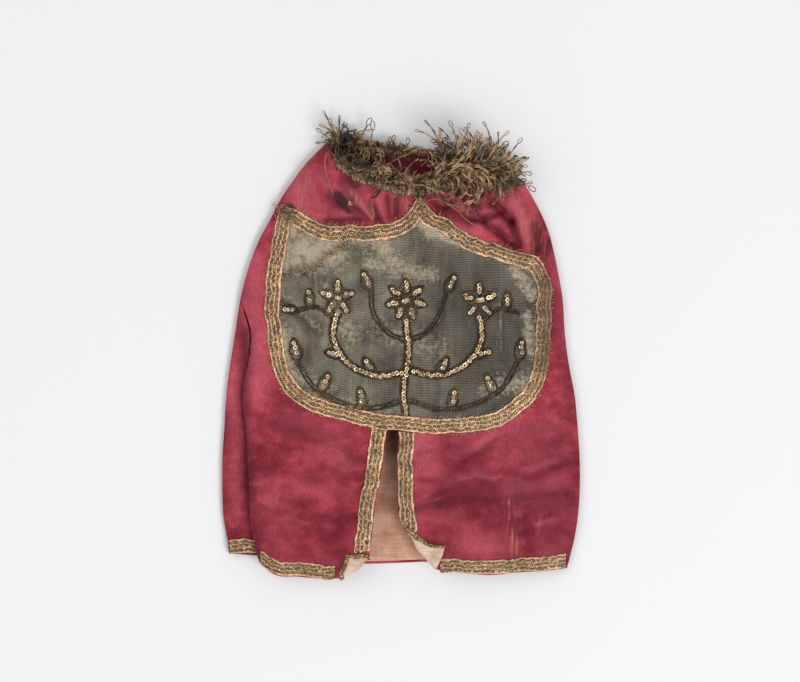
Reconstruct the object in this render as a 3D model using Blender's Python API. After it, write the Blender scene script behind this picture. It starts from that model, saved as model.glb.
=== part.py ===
"""A fitted cloth mantle for a small scroll, laid on its back.

The tube of cloth lies flat: the hem points to -Y, the gathered neck to +Y and the front faces up.
Tables and sizes are in millimetres, and the last step of each mesh turns them into metres.
"""

import math
from collections import namedtuple

import bmesh
import bpy
import numpy as np

MM = 0.001

# Thicknesses of the cloths and the clear gap that sewn-together pieces keep.
BODY_THICK = 1.6
LINING_THICK = 1.0
SHIELD_THICK = 1.2
BRAID_THICK = 1.2
HEADING_THICK = 1.6
GAP = 0.7
LINING_SAG = 2.4
LINING_SAG_LENGTH = 22.0

# How far the middle of each layer lies from the middle of the body cloth.
ON_BODY = BODY_THICK / 2 + GAP + BRAID_THICK / 2
SHIELD_LIFT = BODY_THICK / 2 + GAP + SHIELD_THICK / 2
ON_SHIELD = SHIELD_LIFT + SHIELD_THICK / 2 + GAP + BRAID_THICK / 2
LINING_DROP = -(BODY_THICK / 2 + GAP + LINING_THICK / 2)
HEADING_LIFT = BODY_THICK / 2 + 2 * GAP + HEADING_THICK / 2
BACK_HEADING_GAP = 0.5
BACK_HEADING_LIFT = BODY_THICK / 2 + BACK_HEADING_GAP + HEADING_THICK / 2

# The flattened tube: the side folds' height and the section's fullness.
FLOOR_LEVEL = BODY_THICK / 2
SIDE_LEVEL = 3.8
SIDE_RADIUS = 5.0
SECTION_POWER = 2.2
SECTION_ROOT = 1.45
SEAM_GAP = 0.7
SEAM_SHARE = 0.20
FOLDS_SHARE = 0.35
BACK_NECK_RISE = 5.0
NECK_RISE_START = 124.0
NECK_RISE_LENGTH = 36.0

Side = namedtuple("Side", "y left right crown")
SIDES = [
    Side(-192.0, -133.0, 128.0, 17.5),
    Side(-177.6, -135.2, 132.4, 17.5),
    Side(-166.4, -136.8, 135.2, 18.0),
    Side(-155.2, -138.4, 138.0, 18.5),
    Side(-136.0, -141.6, 141.0, 19.5),
    Side(-116.8, -142.4, 142.4, 20.5),
    Side(-91.2, -142.4, 142.4, 21.5),
    Side(-65.6, -140.8, 140.8, 22.0),
    Side(-40.0, -139.2, 138.4, 22.0),
    Side(-14.4, -136.0, 133.6, 22.0),
    Side(11.2, -132.0, 130.4, 22.5),
    Side(36.8, -128.0, 128.8, 22.5),
    Side(56.0, -123.2, 125.6, 23.0),
    Side(75.2, -116.8, 121.6, 23.0),
    Side(88.0, -111.2, 118.4, 23.5),
    Side(100.8, -104.0, 113.6, 23.5),
    Side(113.6, -97.6, 107.2, 24.0),
    Side(126.4, -89.6, 100.0, 24.0),
    Side(133.0, -84.8, 96.0, 24.0),
    Side(145.6, -75.2, 88.0, 24.0),
    Side(154.0, -67.2, 83.0, 24.0),
    Side(161.6, -59.2, 78.0, 24.0),
]

# The front panel's left edge. Below the shoulder it lies over the side strip in a tuck: strip is
# the most that the strip may rise there, and lap is how far it runs on under the front.
Tuck = namedtuple("Tuck", "y front_left strip lap")
TUCKS = [
    Tuck(-192.0, -106.0, 4.6, 9.0),
    Tuck(-176.0, -111.2, 4.8, 9.0),
    Tuck(-168.0, -114.4, 5.0, 9.0),
    Tuck(-155.2, -117.2, 5.4, 9.0),
    Tuck(-136.0, -120.0, 5.8, 9.0),
    Tuck(-116.8, -120.8, 6.0, 9.0),
    Tuck(-91.2, -122.4, 6.0, 9.0),
    Tuck(-65.6, -123.6, 6.0, 8.0),
    Tuck(-52.8, -125.6, 6.0, 7.0),
    Tuck(-40.0, -126.4, 6.2, 6.0),
    Tuck(-27.2, -124.8, 6.2, 4.0),
    Tuck(-14.4, -121.6, 6.2, 1.5),
    Tuck(-4.0, -120.0, 6.6, -1.4),
    Tuck(11.2, -119.6, 14.0, -1.5),
    Tuck(24.0, -123.2, 26.0, -1.4),
    Tuck(36.8, -128.0, 40.0, 0.0),
]
TUCK_TOP = TUCKS[-1].y
TUCK_FADE = 50.0
STRIP_SOFTNESS = 0.9
EDGE_CURL = 1.4
EDGE_CURL_WIDTH = 3.0
EDGE_LIFT = 3.0
EDGE_LIFT_WIDTH = 24.0
EDGE_LIFT_TOP = -60.0
EDGE_LIFT_FADE = 60.0

# Outlines of the cut edges, left to right.
Edge = namedtuple("Edge", "x y")
FRONT_HEM = [
    Edge(-111.2, -174.0),
    Edge(-104.0, -180.5),
    Edge(-80.8, -184.4),
    Edge(-52.0, -187.0),
    Edge(-28.0, -187.2),
    Edge(8.8, -181.0),
    Edge(28.8, -181.2),
    Edge(48.0, -182.0),
    Edge(71.2, -183.2),
    Edge(95.2, -180.8),
    Edge(115.0, -179.8),
    Edge(132.4, -177.6),
]
BACK_HEM = [
    Edge(-136.8, -166.4),
    Edge(-95.0, -169.5),
    Edge(-35.0, -174.4),
    Edge(25.0, -172.8),
    Edge(80.0, -172.8),
    Edge(133.0, -174.0),
]
FRONT_NECK = [
    Edge(-59.2, 161.0),
    Edge(-52.0, 150.5),
    Edge(-43.0, 142.5),
    Edge(-32.0, 136.5),
    Edge(-17.0, 131.5),
    Edge(0.0, 127.5),
    Edge(15.0, 126.5),
    Edge(31.0, 129.5),
    Edge(47.0, 132.0),
    Edge(63.0, 132.0),
    Edge(80.0, 131.5),
    Edge(96.0, 132.0),
]
BACK_NECK = [
    Edge(-59.2, 161.6),
    Edge(-44.8, 161.2),
    Edge(-16.8, 160.0),
    Edge(0.0, 158.4),
    Edge(19.2, 157.0),
    Edge(40.0, 153.0),
    Edge(60.0, 147.5),
    Edge(80.0, 140.5),
    Edge(96.0, 132.6),
]

# The vent below the shield, with the edges of its two flaps.
VENT_TOP = -56.0
VENT_AXIS = -5.5
VENT_LEFT = [
    Edge(-25.6, -187.0),
    Edge(-25.6, -168.0),
    Edge(-23.2, -152.0),
    Edge(-21.6, -136.0),
    Edge(-18.4, -115.2),
    Edge(-15.2, -98.0),
    Edge(-13.6, -83.2),
    Edge(-11.2, -70.0),
    Edge(-9.6, -62.0),
]
VENT_RIGHT = [
    Edge(8.8, -181.0),
    Edge(3.2, -145.6),
    Edge(-0.8, -139.2),
    Edge(-2.4, -127.2),
    Edge(-3.2, -115.2),
    Edge(-3.2, -99.2),
    Edge(-2.4, -83.2),
    Edge(-1.8, -70.0),
    Edge(-2.6, -62.0),
]

# A vent corner turned up over its fold line, which runs from the vent edge to the hem.
# foot is where the tip stands along that line, as a share, and reach the tip's flat distance.
Turned = namedtuple("Turned", "vent_x vent_y hem_x hem_y radius foot reach")
TURNED_RIGHT = Turned(4.6, -142.6, 29.6, -178.6, 3.4, 0.72, 23.0)
TURNED_LEFT = Turned(-25.0, -166.4, -50.6, -185.4, 2.8, 0.46, 19.0)

# Folds and gathers of the front: soft ridges, and troughs where height is negative.
Fold = namedtuple("Fold", "x0 y0 x1 y1 width height")
FOLDS = [
    Fold(-56.8, 120.0, -36.0, 107.2, 10.0, -3.0),
    Fold(-44.8, 128.0, -23.2, 102.4, 7.0, 2.4),
    Fold(-26.4, 114.4, -16.8, 96.0, 6.0, -2.0),
    Fold(-18.4, 121.6, -10.4, 99.2, 7.0, 2.0),
    Fold(-4.0, 116.8, -1.6, 97.6, 6.0, -2.0),
    Fold(35.2, 110.4, 64.8, 100.0, 7.0, -2.2),
    Fold(64.8, 100.0, 81.6, 108.0, 6.5, -1.8),
    Fold(73.6, 114.4, 88.0, 99.2, 7.0, -3.6),
    Fold(88.0, 99.2, 93.6, 79.2, 7.0, -3.6),
    Fold(66.4, 97.6, 88.8, 80.0, 7.0, -2.6),
    Fold(88.8, 120.8, 102.4, 84.8, 9.0, 1.8),
    Fold(105.6, 97.6, 108.8, 75.2, 6.5, -2.4),
    Fold(31.2, -123.2, 127.2, -116.8, 20.0, -2.4),
    Fold(19.2, -108.8, 79.2, -102.4, 11.0, 1.2),
    Fold(47.2, -88.0, 76.0, -73.6, 9.0, -1.5),
    Fold(96.8, -138.0, 99.2, -160.0, 12.0, -2.0),
    Fold(-111.2, -60.8, -56.8, -73.6, 15.0, -1.3),
    Fold(-82.4, -104.0, -50.4, -102.4, 11.0, -1.3),
    Fold(-40.8, -150.0, -60.0, -166.0, 14.0, -1.4),
]
GATHER_HEIGHT = 1.5
GATHER_LENGTH = 15.0
GATHER_PITCH = 19.0
HEM_WAVE_HEIGHT = 1.3
HEM_WAVE_LENGTH = 26.0
HEM_WAVE_PITCH = 54.0

# The shield: its outline is the braid's outer edge, read clockwise from the top left corner.
SHIELD_TOP = [
    Edge(-96.0, 110.4),
    Edge(-89.0, 109.4),
    Edge(-80.0, 106.6),
    Edge(-72.8, 101.6),
    Edge(-64.8, 97.4),
    Edge(-54.0, 95.2),
    Edge(-40.0, 95.2),
    Edge(-20.0, 95.4),
    Edge(-7.2, 97.4),
    Edge(1.6, 102.0),
    Edge(8.8, 109.5),
    Edge(14.4, 116.4),
    Edge(19.6, 111.5),
    Edge(25.6, 106.0),
    Edge(35.2, 101.0),
    Edge(45.0, 94.0),
    Edge(55.0, 87.6),
    Edge(66.4, 83.4),
    Edge(82.0, 78.4),
    Edge(96.0, 73.6),
    Edge(108.8, 70.4),
]
SHIELD_RIGHT = [
    Edge(108.8, 70.4),
    Edge(114.4, 61.0),
    Edge(117.8, 52.0),
    Edge(119.2, 43.0),
    Edge(118.8, 28.0),
    Edge(118.0, 4.8),
    Edge(116.6, -14.4),
    Edge(113.0, -30.0),
    Edge(105.6, -43.2),
]
SHIELD_BOTTOM = [
    Edge(-91.0, -38.5),
    Edge(-84.0, -45.0),
    Edge(-76.0, -50.0),
    Edge(-64.8, -54.2),
    Edge(-48.8, -58.4),
    Edge(-32.8, -62.4),
    Edge(-16.8, -65.6),
    Edge(0.0, -67.6),
    Edge(16.0, -69.2),
    Edge(34.0, -69.8),
    Edge(50.0, -69.4),
    Edge(66.0, -67.4),
    Edge(80.0, -63.2),
    Edge(93.0, -55.4),
    Edge(105.6, -43.2),
]
SHIELD_LEFT = [
    Edge(-91.0, -38.5),
    Edge(-97.6, -28.0),
    Edge(-102.4, -15.0),
    Edge(-105.0, 0.0),
    Edge(-106.6, 14.4),
    Edge(-107.2, 30.0),
    Edge(-107.0, 46.0),
    Edge(-106.0, 62.0),
    Edge(-103.0, 78.0),
    Edge(-99.6, 96.0),
    Edge(-96.0, 110.4),
]
SHIELD_FADE = 9.0
SHIELD_BRAID_WIDTH = 11.6
SHIELD_EDGE_SHARE = 0.56
INSET_KEPT = 0.94
BRAID_CLIMB = 0.40
BRAID_STEP = 6.4

# The other braids. Their ends stay clear of the shield's braid and of the turned corners.
VENT_BRAID_WIDTH = 11.6
VENT_BRAID_TOP = -71.5
VENT_BRAID_ROWS = 15
HEM_BRAID_WIDTH = 10.8
HEM_BRAID_STEP = 4.7
BRAID_INSET = 0.7
SIDE_BRAID_COLUMNS = 7
SIDE_BRAID_CLEARANCE = 1.6
TUCKED_UNDER = 2.6
VentBraid = namedtuple("VentBraid", "name edge side outer_end inner_end")
VENT_BRAIDS = [
    VentBraid("braid_vent_left", VENT_LEFT, -1, -159.5, -162.5),
    VentBraid("braid_vent_right", VENT_RIGHT, 1, -138.5, -145.5),
]
HemBraid = namedtuple("HemBraid", "name x0 x1 x0_inner")
HEM_BRAIDS = [
    HemBraid("braid_hem_left", -110.5, -57.0, -112.7),
    HemBraid("braid_hem_right", 35.5, 130.0, 35.5),
]

# The linings stand in from the cloth's edges, and the turned corners' roll is open at its ends.
LINING_HEM_INSET = 2.0
LINING_VENT_INSET = 1.6
LINING_CORNER_INSET = 3.0
LINING_SIDE_INSET = 11.0
LINING_BACK_TOP = 104.0

# How finely the cloths are drawn. The front's rows run along a corner's fold line, up the vent
# and up the axis above it, which both halves share.
LINE_ROWS = 8
VENT_ROWS = 9
VENT_ROW_CROWDING = 1.35
SPLIT_ROW = LINE_ROWS + VENT_ROWS - 2
FOLDS_START = 60.0
SHIELD_ROWS = 8
NECK_ROWS = 13
COLUMNS_LEFT = 15
COLUMNS_RIGHT = 18
NEAR_EDGE = (0.050, 0.024, 0.009, 0.0)
BACK_NEAR_EDGE = (0.0, 0.0016, 0.0062, 0.0135)
BACK_COLUMNS = (0.024, 0.976, 9)
STRIP_COLUMNS = (0.02, 0.07, 0.16, 0.30, 0.50, 0.75, 1.0)
STRIP_FINE_START = -34.0
SHIELD_NEAR_EDGE = (0.0, 0.025, 0.055)
SHIELD_MIDDLE_START = 0.09
SHIELD_MIDDLE_COLUMNS = 17
SHIELD_EVEN_TOP = 0.88
SHIELD_EVEN_ROWS = 11
SHIELD_TOP_ROWS = (0.94, 1.0)
OUTLINE_STEP = 1.5
ROLL_STEPS = 5
LAID_STEPS = 3
LEAST_STEP = 0.4
NORMAL_STEP = 0.4

# The neck fringe: a narrow heading strip with cord loops rooted in it.
HEADING_WIDTH = 8.0
HEADING_OVERHANG = 0.3
HEADING_ENDS = (-50.2, 92.0)
HEADING_COLUMNS = 36
BACK_HEADING_WIDTH = 6.0
BACK_HEADING_INSET = 0.8
BACK_HEADING_ENDS = (-52.2, 20.0)
BACK_HEADING_COLUMNS = 16
CORD_RADIUS = 0.62
CORD_SIDES = 3
ROOT_DEPTH = 1.2
LOOP_RUN = (0.0, 0.40, 0.76, 0.95, 1.0)
LOOP_SPREAD = (0.20, 0.20, 0.46, 0.40, 0.0)
LOOP_ARCH = 0.12
RISE_SWING = 3.0
LENGTH_SWING = 0.11
# A tuft is a row of loops: where its roots run, how far they turn and rise, and how far its
# roots stand in from the neck's edge.
Tuft = namedtuple("Tuft", "x0 x1 count length turn0 turn1 rise width inset")
FRONT_TUFTS = [
    Tuft(-44.0, 22.0, 11, 15.0, -10.0, 26.0, 38.0, 4.0, 3.4),
    Tuft(31.0, 88.0, 9, 37.0, -8.0, 22.0, 5.0, 4.4, 1.6),
    Tuft(34.0, 85.0, 8, 33.0, -10.0, 28.0, 20.0, 4.2, 3.8),
    Tuft(37.0, 82.0, 7, 26.0, -8.0, 30.0, 38.0, 4.0, 6.0),
]
BACK_TUFTS = [
    Tuft(-50.0, -34.0, 4, 31.0, -62.0, 30.0, 12.0, 3.6, 1.6),
    Tuft(-50.0, -34.0, 4, 20.0, -70.0, 52.0, 44.0, 3.4, 4.4),
    Tuft(-27.0, 15.0, 7, 8.0, -14.0, 26.0, 30.0, 3.2, 3.0),
]


def columns(table):
    """The table's columns as arrays."""
    return [np.array(column, float) for column in zip(*table)]


def smooth(places, values, at):
    """A smooth line through (places, values), read at the places in at."""
    places, values, at = (np.asarray(v, float) for v in (places, values, at))
    slopes = np.gradient(values, places)
    i = np.clip(np.searchsorted(places, at) - 1, 0, len(places) - 2)
    span = places[i + 1] - places[i]
    t = np.clip((at - places[i]) / span, 0, 1)
    start = values[i] * (1 + 2 * t) * (1 - t) ** 2 + span * slopes[i] * t * (1 - t) ** 2
    end = values[i + 1] * (3 - 2 * t) * t**2 - span * slopes[i + 1] * t**2 * (1 - t)
    return start + end


def ease(t):
    """A smooth step from 0 to 1."""
    t = np.clip(t, 0, 1)
    return t * t * (3 - 2 * t)


SIDE_Y, SIDE_LEFT, SIDE_RIGHT, CROWN = columns(SIDES)
TUCK_Y, TUCK_LEFT, TUCK_STRIP, TUCK_LAP = columns(TUCKS)


def left_side(y):
    return smooth(SIDE_Y, SIDE_LEFT, y)


def right_side(y):
    return smooth(SIDE_Y, SIDE_RIGHT, y)


def front_left(y):
    """The front panel's left edge, which is the side fold above the tuck."""
    return np.where(y >= TUCK_TOP, left_side(y), smooth(TUCK_Y, TUCK_LEFT, y))


def along(edge, x):
    """The height in y of an outline that runs left to right, at x."""
    places, values = columns(edge)
    return smooth(places, values, x)


def outline_points(edge, step):
    """Points spaced evenly along an outline, on a smooth line through its points."""
    xs, ys = columns(edge)
    run = np.concatenate([[0], np.cumsum(np.hypot(np.diff(xs), np.diff(ys)))])
    at = np.linspace(0, run[-1], max(3, round(run[-1] / step) + 1))
    return np.stack([smooth(run, xs, at), smooth(run, ys, at)], axis=1)


def shield_outline(step):
    """The closed outline of the shield, clockwise from the top left corner."""
    top = outline_points(SHIELD_TOP, step)
    right = outline_points(SHIELD_RIGHT, step)
    bottom = outline_points(SHIELD_BOTTOM, step)[::-1]
    left = outline_points(SHIELD_LEFT, step)
    return np.concatenate([top[:-1], right[:-1], bottom[:-1], left[:-1]])


SHIELD_RING = shield_outline(6.0)


def distance_to_line(points, ring):
    """How far each point lies from a closed line."""
    best = np.full(len(points), np.inf)
    for a, b in zip(ring, np.roll(ring, -1, axis=0)):
        side = b - a
        share = np.clip(((points - a) @ side) / (side @ side), 0, 1)
        best = np.minimum(best, np.hypot(*(points - a - share[:, None] * side).T))
    return best


def distance_to_shield(x, y):
    """How far outside the shield's outline each point lies, and 0 inside it."""
    points = np.stack([np.ravel(x), np.ravel(y)], axis=1)
    inside = np.zeros(len(points), bool)
    for a, b in zip(SHIELD_RING, np.roll(SHIELD_RING, -1, axis=0)):
        crosses = (a[1] > points[:, 1]) != (b[1] > points[:, 1])
        rise = b[1] - a[1] if b[1] != a[1] else 1e-9
        inside ^= crosses & (points[:, 0] < a[0] + (points[:, 1] - a[1]) / rise * (b[0] - a[0]))
    return np.where(inside, 0.0, distance_to_line(points, SHIELD_RING)).reshape(np.shape(x))


def folds(x, y):
    """Height of the ridges, troughs, gathers and hem waves, which die out at the shield."""
    total = np.zeros(np.shape(x))
    for fold in FOLDS:
        dx, dy = fold.x1 - fold.x0, fold.y1 - fold.y0
        length = math.hypot(dx, dy)
        run = ((x - fold.x0) * dx + (y - fold.y0) * dy) / length
        across = ((x - fold.x0) * dy - (y - fold.y0) * dx) / length
        past = np.maximum(0, np.maximum(-run, run - length))
        total += fold.height * np.exp(-((across**2 + past**2) / (fold.width / 2) ** 2))
    neck = along(FRONT_NECK, np.clip(x, FRONT_NECK[0].x, FRONT_NECK[-1].x)) - y
    phase = 2 * math.pi * x / GATHER_PITCH
    gathers = np.sin(phase) + 0.5 * np.sin(0.61 * phase + 1.0)
    total += GATHER_HEIGHT * gathers * np.exp(-np.maximum(neck, 0) / GATHER_LENGTH)
    hem = y - along(FRONT_HEM, np.clip(x, FRONT_HEM[0].x, FRONT_HEM[-1].x))
    wave = np.sin(2 * math.pi * x / HEM_WAVE_PITCH + 0.8)
    total += HEM_WAVE_HEIGHT * wave * np.exp(-np.maximum(hem, 0) / HEM_WAVE_LENGTH)
    return total * ease(distance_to_shield(x, y) / SHIELD_FADE)


def shell(x, y):
    """Height of the flattened tube's upper side before any tuck, and its share of the crown."""
    left, right = left_side(y), right_side(y)
    middle, half = (left + right) / 2, (right - left) / 2
    off = np.clip(np.abs(x - middle) / half, 0, 1)
    share = (1 - off**SECTION_POWER) ** (1 / SECTION_ROOT)
    crown = smooth(SIDE_Y, CROWN, y)
    return SIDE_LEVEL + (crown - SIDE_LEVEL) * share, share


def front_height(x, y):
    """Height of the middle of the front panel."""
    base, share = shell(x, y)
    from_edge = x - front_left(y)
    tucked = ease((TUCK_TOP - y) / TUCK_FADE)
    curl = EDGE_CURL * np.exp(-((from_edge / EDGE_CURL_WIDTH) ** 2))
    lift = EDGE_LIFT * ease((EDGE_LIFT_TOP - y) / EDGE_LIFT_FADE)
    lift = lift * np.exp(-((from_edge / EDGE_LIFT_WIDTH) ** 2))
    rise = folds(x, y) * ease(share / FOLDS_SHARE)
    return base + rise + tucked * (lift - curl) + SEAM_GAP * (1 - ease(share / SEAM_SHARE))


def strip_height(x, y):
    """Height of the middle of the back panel where it wraps over the left side."""
    base, _ = shell(x, y)
    limit = smooth(TUCK_Y, TUCK_STRIP, y)
    base, limit = base / STRIP_SOFTNESS, limit / STRIP_SOFTNESS
    return -STRIP_SOFTNESS * np.logaddexp(-base, -limit)


def normals(height, x, y):
    """Unit normals of a height surface."""
    step = NORMAL_STEP
    dx = (height(x + step, y) - height(x - step, y)) / (2 * step)
    dy = (height(x, y + step) - height(x, y - step)) / (2 * step)
    up = np.stack([-dx, -dy, np.ones_like(dx)], axis=-1)
    return up / np.linalg.norm(up, axis=-1, keepdims=True)


def fold_frame(turned):
    """A turned corner's fold line: its start, direction, outward direction and length."""
    start = np.array([turned.vent_x, turned.vent_y])
    line = np.array([turned.hem_x, turned.hem_y]) - start
    length = math.hypot(*line)
    direction = line / length
    outward = np.array([direction[1], -direction[0]])
    if outward @ (np.array([VENT_AXIS, FRONT_HEM[0].y]) - start) < 0:
        outward = -outward
    return start, direction, outward, length


def front_cloth(points, lift, turned=None):
    """Flat cloth points of the front panel as they lie, lift above the middle of the cloth.

    Points beyond a turned corner's fold line roll up round its radius and lie back on the front.
    """
    x, y = points[..., 0], points[..., 1]
    if turned is None:
        place = np.stack([x, y, front_height(x, y)], axis=-1)
        return place + lift * normals(front_height, x, y)
    start, _, outward, _ = fold_frame(turned)
    beyond = (points - start) @ outward
    angle = np.clip(beyond / turned.radius, 0, math.pi)
    laid = np.maximum(beyond - math.pi * turned.radius, 0)
    shift = turned.radius * np.sin(angle) - laid - np.maximum(beyond, 0)
    x, y = x + shift * outward[0], y + shift * outward[1]
    up = normals(front_height, x, y)
    height = turned.radius * (1 - np.cos(angle)) + lift * np.cos(angle)
    place = np.stack([x, y, front_height(x, y)], axis=-1) + height[..., None] * up
    place[..., :2] -= lift * np.sin(angle)[..., None] * outward
    return place


def patch(left, right, bottom, top, across, up):
    """Plan points of a four-sided field of cloth between its four edges, as rows of columns."""
    u, v = across[None, :, None], up[:, None, None]
    corners = (1 - v) * ((1 - u) * left[0] + u * right[0])
    corners = corners + v * ((1 - u) * left[-1] + u * right[-1])
    sides = (1 - u) * left[:, None] + u * right[:, None]
    ends = (1 - v) * bottom[None] + v * top[None]
    return sides + ends - corners


def face_outwards(mesh):
    """Makes all faces of a mesh agree, and a closed one's point out."""
    work = bmesh.new()
    work.from_mesh(mesh)
    bmesh.ops.recalc_face_normals(work, faces=work.faces)
    work.to_mesh(mesh)
    work.free()


class Sheet:
    """The middle surface of a cloth piece, gathered from grids that share vertices."""

    def __init__(self):
        self.points = []
        self.faces = []

    def add(self, points):
        """Adds points and returns their numbers in the same arrangement."""
        start = len(self.points)
        self.points.extend(np.reshape(points, (-1, 3)))
        return start + np.arange(points[..., 0].size).reshape(points.shape[:-1])

    def weave(self, grid):
        """Faces between the rows and columns of numbered points. A repeated point narrows them."""
        for low, high in zip(grid[:-1], grid[1:]):
            for a, b, c, d in zip(low[:-1], low[1:], high[1:], high[:-1]):
                face = list(dict.fromkeys((int(a), int(b), int(c), int(d))))
                if len(face) > 2:
                    self.faces.append(face)

    def solid(self, name, thickness, finish):
        """An object of this sheet with its thickness, half of it on each side."""
        used = sorted({i for face in self.faces for i in face})
        renumber = {old: new for new, old in enumerate(used)}
        points = [tuple(self.points[i] * MM) for i in used]
        faces = [[renumber[i] for i in face] for face in self.faces]
        mesh = bpy.data.meshes.new(name)
        mesh.from_pydata(points, [], faces)
        face_outwards(mesh)
        mesh.shade_smooth()
        mesh.materials.append(finish)
        thing = bpy.data.objects.new(name, mesh)
        bpy.context.collection.objects.link(thing)
        thicken = thing.modifiers.new("thickness", "SOLIDIFY")
        thicken.thickness = thickness * MM
        thicken.offset = 0
        return thing


def material(name, colour, roughness, metallic=0.0):
    """A plain finish for one kind of cloth or thread."""
    made = bpy.data.materials.new(name)
    made.use_nodes = True
    shader = made.node_tree.nodes["Principled BSDF"]
    shader.inputs["Base Color"].default_value = (*colour, 1)
    shader.inputs["Roughness"].default_value = roughness
    shader.inputs["Metallic"].default_value = metallic
    return made


def toward_edge(count, near):
    """Shares from 0 to 1 that crowd towards 1, the last few at the distances in near."""
    return np.concatenate([np.linspace(0, 1 - near[0], count), 1 - np.array(near[1:])])


def rows_below(turned):
    """Heights of a half's rows on the vent's edge: along the fold line, then up to the top."""
    on_line = np.linspace(turned.hem_y, turned.vent_y, LINE_ROWS)
    share = np.linspace(0, 1, VENT_ROWS) ** VENT_ROW_CROWDING
    return np.concatenate([on_line, turned.vent_y + share[1:] * (VENT_TOP - turned.vent_y)])


def rows_above():
    """Heights of the rows on the vent's axis, above the vent."""
    neck = float(along(FRONT_NECK, VENT_AXIS))
    under_shield = np.linspace(VENT_TOP, FOLDS_START, SHIELD_ROWS)[1:]
    return np.concatenate([under_shield, np.linspace(FOLDS_START, neck, NECK_ROWS)[1:]])


def vent_side(edge, turned):
    """The inner edge of one half of the front: the fold line, the vent, then the axis."""
    xs, ys = columns(edge)
    y = rows_below(turned)
    start, direction, _, _ = fold_frame(turned)
    share = (y - ys[-1]) / (VENT_TOP - ys[-1])
    over = xs[-1] + share * (VENT_AXIS - xs[-1])
    x = np.where(y > ys[-1], over, smooth(ys, xs, y))
    line_x = start[0] + (y - start[1]) * direction[0] / direction[1]
    x[:LINE_ROWS] = line_x[:LINE_ROWS]
    above = rows_above()
    y = np.concatenate([y, above])
    x = np.concatenate([x, np.full(len(above), VENT_AXIS)])
    return np.stack([x, y], axis=1)


def front_half(side, columns_across):
    """Plan points of one half of the front panel, with the columns from the vent outwards."""
    turned = TURNED_LEFT if side < 0 else TURNED_RIGHT
    inner = vent_side(VENT_LEFT if side < 0 else VENT_RIGHT, turned)
    outer_edge = front_left if side < 0 else right_side
    hem_end = FRONT_HEM[0] if side < 0 else FRONT_HEM[-1]
    neck_end = FRONT_NECK[0] if side < 0 else FRONT_NECK[-1]
    share = (inner[:, 1] - inner[0, 1]) / (inner[-1, 1] - inner[0, 1])
    y = hem_end.y + share * (neck_end.y - hem_end.y)
    outer = np.stack([outer_edge(y), y], axis=1)
    across = toward_edge(columns_across, NEAR_EDGE)
    hem_x = inner[0, 0] + across * (outer[0, 0] - inner[0, 0])
    neck_x = inner[-1, 0] + across * (outer[-1, 0] - inner[-1, 0])
    hem_y = along(FRONT_HEM, hem_x)
    hem_y = hem_y + (inner[0, 1] - hem_y[0]) * (1 - across) ** 4
    hem = np.stack([hem_x, hem_y], axis=1)
    neck = np.stack([neck_x, along(FRONT_NECK, neck_x)], axis=1)
    hem[-1], neck[-1] = outer[0], outer[-1]
    return patch(inner, outer, hem, neck, across, share)


def add_flap(sheet, turned, column, line, lift, inset=0.0):
    """Joins a turned corner to the column of points that stands on its fold line.

    Its columns stand at the same distances from the line in each layer. Where the corner is
    narrower than a column's distance, that column ends on the corner's edge. A layer with an
    inset goes round only where the corner is wide enough to lie back.
    """
    start, direction, outward, length = fold_frame(turned)
    run = np.clip((line - start) @ direction / length, 0, 1)
    width = turned.reach * np.minimum(run / turned.foot, (1 - run) / (1 - turned.foot))
    width = np.maximum(width - inset, 0)
    rolled = math.pi * turned.radius
    if inset:
        wide = width > 0.9 * rolled
        column, line, width = column[wide], line[wide], width[wide]
    far = np.linspace(0, rolled, ROLL_STEPS + 1)
    far = np.concatenate([far, np.linspace(rolled, turned.reach, LAID_STEPS + 1)[1:]])
    beyond = np.minimum(far, width[:, None])
    flat = line[:, None] + beyond[..., None] * outward
    numbers = sheet.add(front_cloth(flat, lift, turned))
    numbers[:, 0] = column
    for row, distances in zip(numbers, beyond):
        for j in range(1, len(row)):
            if distances[j] - distances[j - 1] < LEAST_STEP:
                row[j] = row[j - 1]
    sheet.weave(numbers)


def front_panel(satin):
    """The front: two halves that share the axis above the vent, each with its turned corner."""
    sheet = Sheet()
    shared = None
    for side, across in ((-1, COLUMNS_LEFT), (1, COLUMNS_RIGHT)):
        plan = front_half(side, across)
        grid = sheet.add(front_cloth(plan, 0.0))
        if shared is None:
            shared = grid[SPLIT_ROW:, 0]
        grid[SPLIT_ROW:, 0] = shared
        sheet.weave(grid)
        turned = TURNED_LEFT if side < 0 else TURNED_RIGHT
        add_flap(sheet, turned, grid[:LINE_ROWS, 0], plan[:LINE_ROWS, 0], 0.0)
    sheet.solid("front_panel", BODY_THICK, satin)


def back_rows():
    """Shares of the way from hem to neck of the back panel's rows."""
    hem, neck = BACK_HEM[0].y, BACK_NECK[0].y
    low = np.linspace(hem, STRIP_FINE_START, 10)
    low = np.concatenate([low, np.linspace(STRIP_FINE_START, TUCK_TOP, 8)[1:]])
    high = np.linspace(TUCK_TOP, neck, 10)[1:]
    return (np.concatenate([low, high]) - hem) / (neck - hem), len(low)


def back_height(x, y):
    """Height of the middle of the back panel on the floor, with its neck slightly raised."""
    raised = BACK_NECK_RISE * ease((y - NECK_RISE_START) / NECK_RISE_LENGTH)
    from_left = np.clip((x - left_side(y)) / SIDE_RADIUS, 0, 1)
    from_right = np.clip((right_side(y) - x) / SIDE_RADIUS, 0, 1)
    inward = np.minimum(from_left, from_right)
    round_side = 1 - np.sqrt(1 - (1 - inward) ** 2)
    level = FLOOR_LEVEL + raised * ease(inward)
    return level + (SIDE_LEVEL - SEAM_GAP - level) * round_side


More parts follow.
